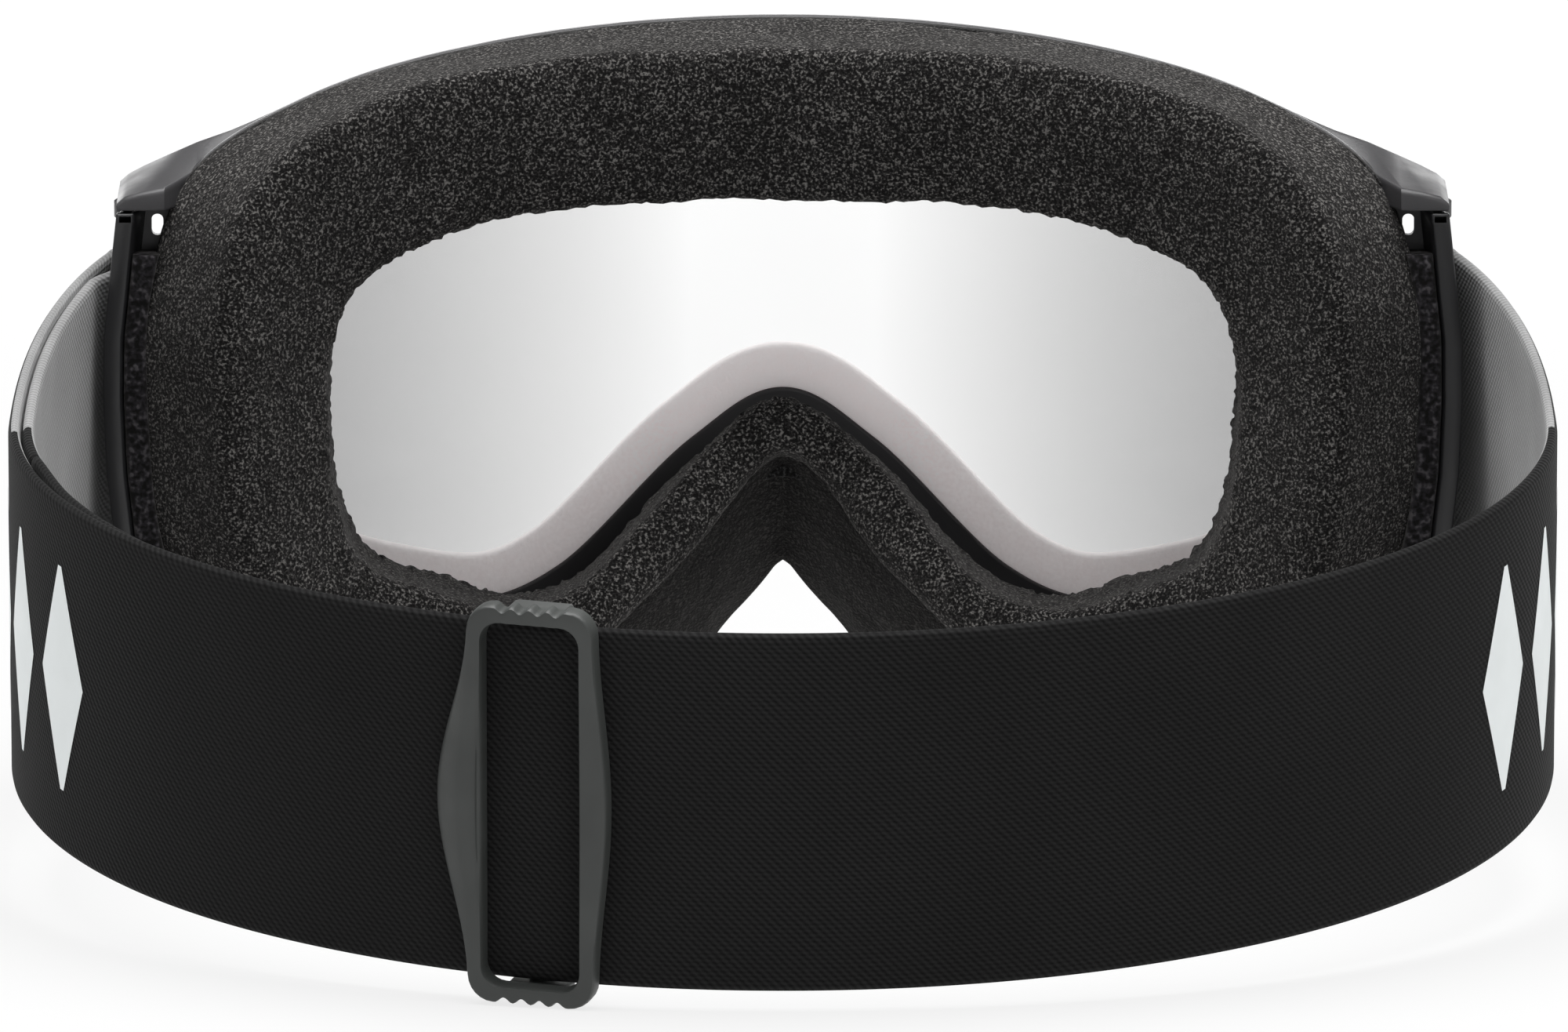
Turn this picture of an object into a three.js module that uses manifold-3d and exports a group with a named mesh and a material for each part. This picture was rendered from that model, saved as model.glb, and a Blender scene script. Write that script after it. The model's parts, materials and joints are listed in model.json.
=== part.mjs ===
// Ski goggles with a cylindrical double lens, a moulded facial frame with layered face foam,
// clip-on outriggers and an elastic strap with one slider.
// Millimetres. +X is the wearer's left, -Y is forwards, out through the lens, and +Z is up.
// The goggles stand on the frame's lower edge and on the slider's lower end. The origin is on that
// surface, under the middle of the whole object.
import * as THREE from "three";
import { mergeVertices } from "three/addons/utils/BufferGeometryUtils.js";
import Module from "manifold-3d";

const wasm = await Module();
wasm.setup();

// ---------------------------------------------------------------- driving dimensions
const LENS_FRONT_Y = -102.5; // the lens's foremost line: every depth below is measured back from it
const LENS_RADIUS = 110; // the cylinder that the outer lens is bent to
const LENS_THICK = 2.0;
const GASKET_THICK = 3.0;
const INNER_LENS_THICK = 1.0;
const GAP = 0.3; // between pieces that touch
const RIM_PROUD = 0.6; // the rim stands this far in front of the lens
const LEDGE_THICK = 2.2; // the ledge that the lens's edge sits on
const LEDGE_WIDTH = 2.3;
const INNER_LENS_INSET = 2.7; // the inner lens passes through the ledge
const GASKET_WIDTH = 5.6;

const FLANGE_DEPTH = 24; // rear face of the frame's flange, at the middle
const FACE_RADIUS = 130; // the curve of the flange and of the foam across the face
const FLANGE_THICK = 2.0;
const WALL = 2.4;
const FOAM_BASE_THICK = 2.6;
const FOAM_REAR_DEPTH = 46; // rearmost face of the foam, at the middle of the forehead
const NOSE_DIP = 13; // the foam is this much shallower over the nose
const NOSE_DIP_WIDTH = 18;

const ANCHOR = { x: 82.55, depth: 38, radius: 1.6 }; // the outrigger's upright bar
const PLATE_DEPTHS = [50, 57]; // the outrigger's rear plate, from front to rear
const SHELF_BOTTOM = 76.2; // the shoulder that joins the frame to the outrigger
const SHELF_TOP = { inner: 84.4, outer: 78.2 };
const FOOT_RIB = { low: 19, high: 22 };

const STRAP_WIDTH = 45;
const STRAP_THICK = 1.5;
const STRAP_PITCH = THREE.MathUtils.degToRad(7.6); // the strap hangs back and down to the surface
const BACK_RADIUS = 100; // the arc at the back of the head, which the slider runs on
const BACK_CENTRE = 65; // its centre, measured along the strap's plane from the anchor bar
const SIDE_RADIUS = 87.5;
const SIDE_CENTRE = { u: 7.5, v: 75 };
const CUFF_RADIUS = 25; // the strap turns up and down about the anchor bars outside this radius
const LAYER = 1.75; // from the strap's middle to the middle of the layer inside it

const SLIDER_ANGLE = THREE.MathUtils.degToRad(17.1); // where the slider is along the back arc
const SLIDER = { length: 50, width: 16, belly: [16.8, 10.6], window: [12.2, 45.6], thick: 2.4, bar: 3.4 };
const SLIDER_RAISED = 0.15; // the slider's middle is this far up the strap from the strap's own
const RETURN_END = THREE.MathUtils.degToRad(33); // the return layer stops clear of the slider's travel
const LOOP_END = THREE.MathUtils.degToRad(26.2);

const OUTLINE_POINTS = 96;

// Half outlines in front view, (x, z) from the top centre down to the nose. Points with the same
// place in their lists face each other, so that a wall can run from one outline to the next.
const LENS_HALF = [
  [0, 89], [34, 87], [58, 82], [69, 73], [72.3, 60.5], [72.6, 47], [70.3, 34.5],
  [62.3, 23.6], [50, 18.4], [37.5, 16.8], [27.5, 20.8], [10, 37.2], [0, 43],
];
const RIM_HALF = [
  [0, 92.6], [35, 90.4], [59, 84.8], [72, 75.6], [76.2, 62], [76.7, 48], [74.3, 31.5],
  [65.5, 13], [52, 2], [39, -0.6], [26.5, 10.5], [9, 31.4], [0, 37],
];
const FLANGE_HALF = [
  [0, 96.5], [36, 94], [60, 88.3], [75, 79.8], [80.2, 66], [80.7, 50], [78.5, 31.5],
  [70, 12.5], [54, 1.5], [40, -0.6], [27, 10.5], [10.5, 30.6], [0, 37.4],
];
const RIDGE_HALF = [
  [0, 94.9], [32, 94], [53, 89.4], [66.3, 79.3], [70.7, 64.7], [70.6, 50], [69, 35],
  [61, 18.5], [49, 9.5], [37, 9], [26, 17], [11, 29.4], [0, 38.6],
];
const APERTURE_HALF = [
  [0, 75.5], [29.6, 74.6], [45, 71.2], [54, 66], [57.4, 56.8], [57.5, 48], [56.6, 38.5],
  [52.6, 30.2], [43.6, 26.2], [35, 23.2], [26.5, 25.4], [11, 40.8], [0, 48],
];
// The soft flaps under the nose bridge: the gap between them, how far they reach across at their
// lower ends, and their section, (depth, z).
const NOSE_FLAP = {
  top: 25,
  halfAngle: THREE.MathUtils.degToRad(38.5),
  reach: { inner: 17.5, outer: 36 },
  section: [[12, -5], [12, 26], [17, 40], [30, 40], [30, 35], [19, -5]],
};

// ---------------------------------------------------------------- materials
const plastic = (color, roughness) => new THREE.MeshStandardMaterial({ color, roughness, metalness: 0 });
const MATERIALS = {
  frame: plastic(0x232224, 0.45),
  outrigger: plastic(0x161616, 0.35),
  foam: plastic(0x2a2827, 0.95),
  foamBase: plastic(0x1c1b1b, 0.95),
  ventFoam: plastic(0x201f20, 0.95),
  strap: plastic(0x1c1c1c, 0.85),
  lining: plastic(0x8c8b8b, 0.7),
  slider: plastic(0x474948, 0.5),
  gasket: plastic(0xb5a8a7, 0.8),
  filter: plastic(0xd8d8d8, 0.9),
  lens: new THREE.MeshStandardMaterial({ color: 0xe8ebec, roughness: 0.05, transparent: true, opacity: 0.3 }),
};

// ---------------------------------------------------------------- solids
const group = new THREE.Group();

function solidOf(geometry) {
  const bare = geometry.clone();
  bare.deleteAttribute("normal");
  bare.deleteAttribute("uv");
  const merged = mergeVertices(bare, 1e-4);
  return new wasm.Manifold(new wasm.Mesh({
    numProp: 3,
    vertProperties: merged.attributes.position.array,
    triVerts: new Uint32Array(merged.index.array),
  }));
}

function add(name, solid, material) {
  const { vertProperties, triVerts } = solid.getMesh();
  const geometry = new THREE.BufferGeometry();
  geometry.setAttribute("position", new THREE.BufferAttribute(vertProperties, 3));
  geometry.setIndex(new THREE.BufferAttribute(triVerts, 1));
  geometry.computeVertexNormals();
  const mesh = new THREE.Mesh(geometry, material);
  mesh.name = name;
  group.add(mesh);
}

// A piece on the wearer's left and its mirror image on the right.
function addPair(name, solid, material) {
  add(`${name}_left`, solid, material);
  add(`${name}_right`, solid.mirror([1, 0, 0]), material);
}

function box(low, high) {
  const size = high.map((h, i) => h - low[i]);
  const geometry = new THREE.BoxGeometry(...size);
  geometry.translate(...low.map((l, i) => l + size[i] / 2));
  return solidOf(geometry);
}

// Depths, measured back from the lens's foremost line.
const backOf = (radius, x) => radius - Math.sqrt(radius * radius - x * x);
const lensDepth = (x) => backOf(LENS_RADIUS, x);
const flangeDepth = (x) => FLANGE_DEPTH + backOf(FACE_RADIUS, x);
const noseDip = (x, z) => (z < 60 ? NOSE_DIP * Math.exp(-((x / NOSE_DIP_WIDTH) ** 2)) : 0);
const foamDepth = (x, z) => FOAM_REAR_DEPTH + backOf(FACE_RADIUS, x) - noseDip(x, z);

// ---------------------------------------------------------------- outlines
// A closed outline through half of its points and their mirror image, flat where it meets the surface.
function outline(half) {
  const right = half.map(([x, z]) => new THREE.Vector3(x, z, 0));
  const left = right.slice(1, -1).reverse().map((p) => new THREE.Vector3(-p.x, p.y, 0));
  const curve = new THREE.CatmullRomCurve3([...right, ...left], true);
  return curve.getPoints(OUTLINE_POINTS).slice(0, -1).map((p) => new THREE.Vector2(p.x, Math.max(p.y, 0)));
}

// The same outline moved into the opening by a distance, or out of it where that is negative.
function inset(points, distance) {
  return points.map((p, i) => {
    const before = points.at(i - 1);
    const after = points[(i + 1) % points.length];
    const along = after.clone().sub(before).normalize();
    return new THREE.Vector2(p.x + along.y * distance, p.y - along.x * distance);
  });
}

const lensEdge = outline(LENS_HALF);
const rimEdge = outline(RIM_HALF);
const flangeEdge = outline(FLANGE_HALF);
const ridgeEdge = outline(RIDGE_HALF);
const aperture = outline(APERTURE_HALF);
const flangeInner = inset(aperture, -2.5);

// A rail is an outline with a depth at each of its points.
const rail = (points, depth) => points.map((p) =>
  new THREE.Vector3(p.x, LENS_FRONT_Y + depth(p.x, p.y), p.y));
const between = (a, b, share) => a.map((p, i) => p.clone().lerp(b[i], share));

// A ring-shaped solid whose section has one corner on each rail.
function ring(rails) {
  const count = rails[0].length;
  const positions = rails.flat().flatMap((p) => [p.x, p.y, p.z]);
  const index = [];
  rails.forEach((_, r) => {
    const next = ((r + 1) % rails.length) * count;
    for (let i = 0; i < count; i++) {
      const j = (i + 1) % count;
      const [a, b, c, d] = [r * count + i, r * count + j, next + j, next + i];
      index.push(a, c, b, a, d, c);
    }
  });
  const geometry = new THREE.BufferGeometry();
  geometry.setAttribute("position", new THREE.Float32BufferAttribute(positions, 3));
  geometry.setIndex(index);
  return solidOf(geometry);
}

// A front-view outline carried straight back through all depths.
function prism(points) {
  const geometry = new THREE.ExtrudeGeometry(new THREE.Shape(points), { depth: 100, bevelEnabled: false });
  geometry.rotateX(Math.PI / 2);
  geometry.translate(0, LENS_FRONT_Y + 90, 0);
  return solidOf(geometry);
}

// A sheet bent to the lens's curve, from one depth behind its front to another.
function lensSheet(front, rear) {
  const plan = new THREE.Shape();
  const centreY = LENS_FRONT_Y + LENS_RADIUS;
  const spread = THREE.MathUtils.degToRad(44);
  const middle = -Math.PI / 2;
  plan.absarc(0, centreY + front, LENS_RADIUS, middle - spread, middle + spread, false);
  plan.absarc(0, centreY + rear, LENS_RADIUS, middle + spread, middle - spread, true);
  return solidOf(new THREE.ExtrudeGeometry(plan, { depth: 100, curveSegments: 28, bevelEnabled: false }));
}

// ---------------------------------------------------------------- frame
const atLens = (offset) => (x) => lensDepth(x) + offset;
const atFlange = (offset) => (x) => flangeDepth(x) + offset;
const ledgeFront = LENS_THICK + GAP;
const ledgeRear = ledgeFront + LEDGE_THICK;
const wallInside = [
  rail(inset(rimEdge, WALL), atLens(ledgeRear)),
  rail(inset(flangeEdge, WALL + 0.4), atFlange(-FLANGE_THICK)),
];

function frameRing() {
  const outsideLens = inset(lensEdge, -GAP);
  const ledge = inset(lensEdge, LEDGE_WIDTH);
  return ring([
    rail(rimEdge, atLens(-RIM_PROUD)),
    rail(outsideLens, atLens(-RIM_PROUD)),
    rail(outsideLens, atLens(ledgeFront)),
    rail(ledge, atLens(ledgeFront)),
    rail(ledge, atLens(ledgeRear)),
    ...wallInside,
    rail(flangeInner, atFlange(-FLANGE_THICK)),
    rail(flangeInner, atFlange(0)),
    rail(flangeEdge, atFlange(0)),
    rail(flangeEdge, atFlange(-FLANGE_THICK)),
  ]);
}

// The shoulder over the outrigger's top, from the frame's wall out to the plate.
function shoulder() {
  const side = new THREE.Shape([
    new THREE.Vector2(71, SHELF_BOTTOM),
    new THREE.Vector2(84.2, SHELF_BOTTOM),
    new THREE.Vector2(84.2, SHELF_TOP.outer),
    new THREE.Vector2(82.8, SHELF_TOP.outer + 1),
    new THREE.Vector2(71, SHELF_TOP.inner),
  ]);
  const geometry = new THREE.ExtrudeGeometry(side, { depth: 19, bevelEnabled: false });
  geometry.rotateX(Math.PI / 2);
  geometry.translate(0, LENS_FRONT_Y + PLATE_DEPTHS[1], 0);
  const inside = box([0, -200, 0], [74.6, 200, 200]);
  return solidOf(geometry).subtract(inside);
}

// The lug that carries the outrigger's lower rib.
function lug() {
  return box(
    [73.2, LENS_FRONT_Y + 40, FOOT_RIB.low - 3.3],
    [79.4, LENS_FRONT_Y + 49.5, FOOT_RIB.low - GAP],
  );
}

function vents() {
  const top = [-44, -22, 0, 22, 44].map((x) => {
    const depth = (lensDepth(x) + flangeDepth(x)) / 2 + 1;
    return box([x - 8, LENS_FRONT_Y + depth - 4, 80], [x + 8, LENS_FRONT_Y + depth + 4, 105]);
  });
  const bottom = [-56, 56].map((x) => {
    const depth = (lensDepth(x) + flangeDepth(x)) / 2 + 1;
    return box([x - 4.5, LENS_FRONT_Y + depth - 4, -5], [x + 4.5, LENS_FRONT_Y + depth + 4, 16]);
  });
  return [...top, ...bottom];
}

function frame() {
  const shoulders = [shoulder(), shoulder().mirror([1, 0, 0])];
  const lugs = [lug(), lug().mirror([1, 0, 0])];
  // The shoulder stays out of the foam, which begins at the flange's rear face.
  const behindFlange = ring([
    rail(inset(flangeEdge, -0.1), atFlange(0)),
    rail(inset(flangeEdge, 20), atFlange(0)),
    rail(inset(flangeEdge, 20), atFlange(40)),
    rail(inset(flangeEdge, -0.1), atFlange(40)),
  ]);
  let solid = frameRing();
  [...shoulders, ...lugs].forEach((s) => { solid = solid.add(s.subtract(behindFlange)); });
  vents().forEach((v) => { solid = solid.subtract(v); });
  return solid;
}

// Filter foam against the inside of the walls, behind the vents.
function ventFoam() {
  const at = (share, thickness) => {
    const wall = between(...wallInside, share);
    const shape = inset(wall.map((p) => new THREE.Vector2(p.x, p.z)), thickness);
    return shape.map((p, i) => new THREE.Vector3(p.x, wall[i].y, p.y));
  };
  return ring([at(0.12, GAP), at(0.12, 2), at(0.86, 2), at(0.86, GAP)]);
}

// ---------------------------------------------------------------- face foam
function foamBase() {
  const outer = inset(flangeEdge, 0.3);
  const inner = inset(flangeInner, -0.3);
  return ring([
    rail(outer, atFlange(GAP)),
    rail(inner, atFlange(GAP)),
    rail(inner, atFlange(GAP + FOAM_BASE_THICK)),
    rail(outer, atFlange(GAP + FOAM_BASE_THICK)),
  ]);
}

function faceFoam() {
  const front = atFlange(2 * GAP + FOAM_BASE_THICK);
  return ring([
    rail(inset(flangeEdge, 0.3), front),
    rail(aperture, front),
    rail(aperture, (x, z) => foamDepth(x, z) - 3),
    rail(between(ridgeEdge, aperture, 0.3), foamDepth),
    rail(ridgeEdge, (x, z) => foamDepth(x, z) - 1.2),
  ]);
}

// One of the two soft flaps that close the frame round the nose: a thick sheet that slopes
// forwards and down from the foam's rear, filling the notch from the frame to the gap in the middle.
function noseFlap() {
  const { top, halfAngle, reach } = NOSE_FLAP;
  const gapEdge = (x) => new THREE.Vector2(x, top - x / Math.tan(halfAngle));
  const notch = inset(rimEdge, -0.6).filter((p) => p.x > 0.2 && p.x < reach.outer && p.y < 45 && p.y > 2);
  const front = new THREE.Shape([
    new THREE.Vector2(0.2, 36.2),
    gapEdge(0.2),
    gapEdge(reach.inner),
    ...notch,
  ]);
  const slab = new THREE.ExtrudeGeometry(front, { depth: 60, bevelEnabled: false });
  slab.rotateX(Math.PI / 2);
  slab.translate(0, LENS_FRONT_Y + 60, 0);
  // The sheet's section, (depth, height), carried across the notch.
  const section = new THREE.Shape(NOSE_FLAP.section.map(([depth, z]) => new THREE.Vector2(depth, z)));
  const sheet = new THREE.ExtrudeGeometry(section, { depth: 50, bevelEnabled: false });
  sheet.applyMatrix4(new THREE.Matrix4().makeBasis(
    new THREE.Vector3(0, 1, 0), new THREE.Vector3(0, 0, 1), new THREE.Vector3(1, 0, 0)));
  sheet.translate(0, LENS_FRONT_Y, 0);
  return solidOf(slab).intersect(solidOf(sheet));
}

// ---------------------------------------------------------------- lens
function lensPieces() {
  const stack = [0, LENS_THICK];
  add("outer_lens", prism(lensEdge).intersect(lensSheet(...stack)), MATERIALS.lens);
  const gasketFront = LENS_THICK + 0.2;
  const gasketRear = gasketFront + GASKET_THICK;
  const outer = inset(lensEdge, INNER_LENS_INSET);
  const inner = inset(lensEdge, INNER_LENS_INSET + GASKET_WIDTH);
  add("lens_gasket", ring([
    rail(outer, atLens(gasketFront)),
    rail(inner, atLens(gasketFront)),
    rail(inner, atLens(gasketRear)),
    rail(outer, atLens(gasketRear)),
  ]), MATERIALS.gasket);
  const innerFront = gasketRear + 0.2;
  const innerRear = innerFront + INNER_LENS_THICK;
  add("inner_lens", prism(outer).intersect(lensSheet(innerFront, innerRear)), MATERIALS.lens);
  const filter = new THREE.CylinderGeometry(3, 3, 0.8, 16);
  filter.translate(0, LENS_FRONT_Y + innerRear + GAP + 0.4, 80.5);
  add("pressure_filter", solidOf(filter), MATERIALS.filter);
}

// ---------------------------------------------------------------- outriggers
// A plan-view shape, (x, depth), carried up from one height to another.
function upright(plan, low, high) {
  const shape = new THREE.Shape(plan.map(([x, depth]) => new THREE.Vector2(x, LENS_FRONT_Y + depth)));
  const geometry = new THREE.ExtrudeGeometry(shape, { depth: high - low, bevelEnabled: false });
  geometry.translate(0, 0, low);
  return solidOf(geometry);
}

function outrigger() {
  const [front, rear] = PLATE_DEPTHS;
  const top = SHELF_BOTTOM - GAP;
  // The plate's outer face bows out in the middle of its height.
  const bow = new THREE.Shape();
  bow.moveTo(79, FOOT_RIB.low);
  bow.lineTo(84.2, FOOT_RIB.low);
  bow.quadraticCurveTo(86.9, (FOOT_RIB.low + top) / 2, 84.2, top);
  bow.lineTo(79, top);
  const bowed = new THREE.ExtrudeGeometry(bow, { depth: 60, bevelEnabled: false, curveSegments: 8 });
  bowed.rotateX(Math.PI / 2);
  bowed.translate(0, LENS_FRONT_Y + 90, 0);
  const plate = upright([[82.1, front], [84, front], [86.2, rear], [83.9, rear]], FOOT_RIB.low, top)
    .intersect(solidOf(bowed));
  // The bar leans as the strap does, so each rib reaches to where it passes.
  const barDepth = (z) => ANCHOR.depth + (z - ANCHOR_Z) * Math.tan(STRAP_PITCH);
  const ribPlan = (z) => [
    [80.2, barDepth(z)], [81.2, barDepth(z) - 2.2], [84, barDepth(z) - 2.2], [84.2, barDepth(z) + 2],
    [84, front], [86.2, rear], [83.9, rear], [80.9, 48],
  ];
  const upperRib = upright(ribPlan(top - 0.7), top - 1.4, top);
  const footPlan = ribPlan((FOOT_RIB.low + FOOT_RIB.high) / 2);
  const lowerRib = upright([[76, 40.5], ...footPlan.slice(1, -1), [80.9, 49], [76, 49]],
    FOOT_RIB.low, FOOT_RIB.high);
  const ends = [FOOT_RIB.low + 1, top - 0.5].map((z) => (z - ANCHOR_Z) / Math.cos(STRAP_PITCH));
  const bar = new THREE.CylinderGeometry(ANCHOR.radius, ANCHOR.radius, ends[1] - ends[0], 16);
  bar.rotateX(Math.PI / 2);
  bar.translate(ANCHOR.x, 0, (ends[0] + ends[1]) / 2);
  bar.applyMatrix4(strapPlane);
  return plate.add(upperRib).add(lowerRib).add(solidOf(bar));
}

function sideVentFoam() {
  return upright([[80.95, 51.5], [82.4, 51.5], [83.45, 56.5], [80.95, 56.5]], 24, 71.8);
}

// ---------------------------------------------------------------- strap
// The strap's own plane has u across, v back from the anchor bars and w up its width. It turns
// about the anchor bars' middle, and hangs until the slider's lower end meets the surface.
const sliderLow = {
  v: BACK_CENTRE + (BACK_RADIUS + STRAP_THICK / 2 + 0.3 + SLIDER.thick) * Math.cos(SLIDER_ANGLE)
    + (SLIDER.width / 2 - 3.6) * Math.sin(SLIDER_ANGLE),
  w: SLIDER.length / 2 - SLIDER_RAISED,
};
const ANCHOR_Z = sliderLow.v * Math.sin(STRAP_PITCH) + sliderLow.w * Math.cos(STRAP_PITCH);
const strapPlane = new THREE.Matrix4()
  .makeTranslation(0, LENS_FRONT_Y + ANCHOR.depth, ANCHOR_Z)
  .multiply(new THREE.Matrix4().makeRotationX(-STRAP_PITCH));

// The middle of the strap's thickness on the wearer's left, from the anchor bar to the middle of the back.
function strapPath() {
  const path = new THREE.CurvePath();
  const legU = ANCHOR.x + ANCHOR.radius + 0.3 + STRAP_THICK / 2;
  const join = Math.atan2(SIDE_CENTRE.u, SIDE_CENTRE.v - BACK_CENTRE);
  path.add(new THREE.CubicBezierCurve(
    new THREE.Vector2(legU, 0),
    new THREE.Vector2(90.5, 14),
    new THREE.Vector2(SIDE_CENTRE.u + SIDE_RADIUS, 38),
    new THREE.Vector2(SIDE_CENTRE.u + SIDE_RADIUS, SIDE_CENTRE.v),
  ));
  path.add(new THREE.EllipseCurve(
    SIDE_CENTRE.u, SIDE_CENTRE.v, SIDE_RADIUS, SIDE_RADIUS, 0, Math.PI / 2 - join));
  path.add(new THREE.EllipseCurve(
    0, BACK_CENTRE, BACK_RADIUS, BACK_RADIUS, Math.PI / 2 - join, Math.PI / 2));
  return path;
}

const halfPath = strapPath().curves.flatMap((curve, i) => {
  const points = curve.getPoints([9, 9, 7][i]);
  return i < 2 ? points.slice(0, -1) : points;
});

// A band of the strap's thickness along a path in the strap's plane.
function band(path, width = STRAP_WIDTH) {
  const edge = (side) => path.map((p, i) => {
    const along = path[Math.min(i + 1, path.length - 1)].clone().sub(path[Math.max(i - 1, 0)]).normalize();
    return new THREE.Vector2(p.x + along.y * side, p.y - along.x * side);
  });
  const shape = new THREE.Shape([...edge(STRAP_THICK / 2), ...edge(-STRAP_THICK / 2).reverse()]);
  const geometry = new THREE.ExtrudeGeometry(shape, { depth: width, bevelEnabled: false });
  geometry.translate(0, 0, -width / 2);
  return solidOf(geometry);
}

const insideOf = (path, distance) => path.map((p, i) => {
  const along = path[Math.min(i + 1, path.length - 1)].clone().sub(path[Math.max(i - 1, 0)]).normalize();
  return new THREE.Vector2(p.x - along.y * distance, p.y + along.x * distance);
});

const inStrapPlane = (solid) => {
  const { vertProperties, triVerts } = solid.getMesh();
  const geometry = new THREE.BufferGeometry();
  geometry.setAttribute("position", new THREE.BufferAttribute(vertProperties, 3));
  geometry.setIndex(new THREE.BufferAttribute(triVerts, 1));
  geometry.applyMatrix4(strapPlane);
  return solidOf(geometry);
};

// The round joint between the cuffs, which stay with the frame, and the strap, which turns.
function cuffDisc(radius) {
  const geometry = new THREE.CylinderGeometry(radius, radius, 260, 48);
  geometry.rotateZ(Math.PI / 2);
  return solidOf(geometry);
}

const onBackArc = (angle, radius) =>
  new THREE.Vector2(radius * Math.sin(angle), BACK_CENTRE + radius * Math.cos(angle));

function strap() {
  const mirrored = halfPath.slice(0, -1).reverse().map((p) => new THREE.Vector2(-p.x, p.y));
  return band([...halfPath, ...mirrored]).subtract(cuffDisc(CUFF_RADIUS + 0.15));
}

function strapReturn() {
  const stop = onBackArc(RETURN_END, BACK_RADIUS);
  const outer = [...halfPath.filter((p) => p.x > stop.x + 1), stop];
  return band(insideOf(outer, LAYER)).subtract(cuffDisc(CUFF_RADIUS + 0.15));
}

// The strap's end, folded round the anchor bar. On the left it goes on as the return layer.
function cuff(goesOn) {
  const fold = ANCHOR.radius + 0.3 + STRAP_THICK / 2;
  const round = new THREE.EllipseCurve(ANCHOR.x, 0, fold, fold, Math.PI, 2 * Math.PI).getPoints(8);
  const outer = halfPath.slice(1).filter((p) => p.x > 60 && p.y < 40);
  const inner = insideOf(halfPath, LAYER).filter((p) => p.y > 10.5 && p.y < (goesOn ? 40 : 10) && p.x > 60);
  const path = [
    ...inner.reverse(),
    new THREE.Vector2(ANCHOR.x + 0.3, 6),
    ...round,
    ...outer,
  ];
  return band(path).intersect(cuffDisc(CUFF_RADIUS - 0.15));
}

// ---------------------------------------------------------------- slider
// Drawn flat, (across, up its length, out from the strap), then set on the back arc.
function onSlider(geometry) {
  const middle = onBackArc(SLIDER_ANGLE, BACK_RADIUS);
  const out = new THREE.Vector3(Math.sin(SLIDER_ANGLE), Math.cos(SLIDER_ANGLE), 0);
  const up = new THREE.Vector3(0, 0, 1);
  const across = up.clone().cross(out);
  geometry.applyMatrix4(new THREE.Matrix4().makeBasis(across, up, out).setPosition(
    middle.x, middle.y, SLIDER_RAISED));
  return solidOf(geometry);
}

function slider() {
  const { length, width, belly, window: [open, tall], thick, bar } = SLIDER;
  const [h, w] = [length / 2, width / 2];
  const outer = new THREE.Shape();
  outer.moveTo(-w + 3, -h);
  outer.lineTo(w - 3, -h);
  outer.quadraticCurveTo(w, -h, w, -h + 3);
  outer.lineTo(w + 0.4, -h + 12);
  outer.quadraticCurveTo(belly[1], 0, w + 0.4, h - 12);
  outer.lineTo(w, h - 3);
  outer.quadraticCurveTo(w, h, w - 3, h);
  outer.lineTo(-w + 3, h);
  outer.quadraticCurveTo(-w, h, -w, h - 3);
  outer.lineTo(-w - 0.2, h - 12);
  outer.quadraticCurveTo(-belly[0], 0, -w - 0.2, -h + 12);
  outer.lineTo(-w, -h + 3);
  outer.quadraticCurveTo(-w, -h, -w + 3, -h);
  const hole = new THREE.Path();
  const [ho, hh] = [open / 2, tall / 2];
  hole.moveTo(-ho + 2, -hh);
  hole.quadraticCurveTo(-ho, -hh, -ho, -hh + 2);
  hole.lineTo(-ho, hh - 2);
  hole.quadraticCurveTo(-ho, hh, -ho + 2, hh);
  hole.lineTo(ho - 2, hh);
  hole.quadraticCurveTo(ho, hh, ho, hh - 2);
  hole.lineTo(ho, -hh + 2);
  hole.quadraticCurveTo(ho, -hh, ho - 2, -hh);
  outer.holes.push(hole);
  const face = STRAP_THICK / 2 + 0.3;
  const plate = new THREE.ExtrudeGeometry(outer, { depth: thick, bevelEnabled: false, curveSegments: 5 });
  plate.translate(0, 0, face);
  let solid = onSlider(plate);
  const inside = STRAP_THICK / 2 + 0.3 + 2.2;
  const crossBar = new THREE.BoxGeometry(bar, length - 2, 2.2);
  crossBar.translate(0, 0, -inside + 1.1);
  solid = solid.add(onSlider(crossBar));
  [-1, 1].forEach((end) => {
    const near = STRAP_WIDTH / 2 + 0.4 - end * SLIDER_RAISED;
    const far = length / 2 - 0.4;
    const block = new THREE.BoxGeometry(bar + 4, far - near, inside + face + 1);
    block.translate(0, end * (near + far) / 2, (face + 1 - inside) / 2);
    solid = solid.add(onSlider(block));
  });
  return solid;
}

// The return layer's end, folded round the slider's inner bar and sewn to itself.
function sliderLoop() {
  const start = SLIDER_ANGLE - 0.032;
  const far = BACK_RADIUS - STRAP_THICK / 2 - 0.3 - 2.2 - 0.3 - STRAP_THICK / 2;
  const rows = [[LOOP_END, BACK_RADIUS - LAYER]];
  rows.push([SLIDER_ANGLE + 0.062, BACK_RADIUS - LAYER - 0.1]);
  rows.push([SLIDER_ANGLE + 0.034, far]);
  rows.push([start, far]);
  return band(rows.map(([angle, radius]) => onBackArc(angle, radius)), STRAP_WIDTH - 1);
}

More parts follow.
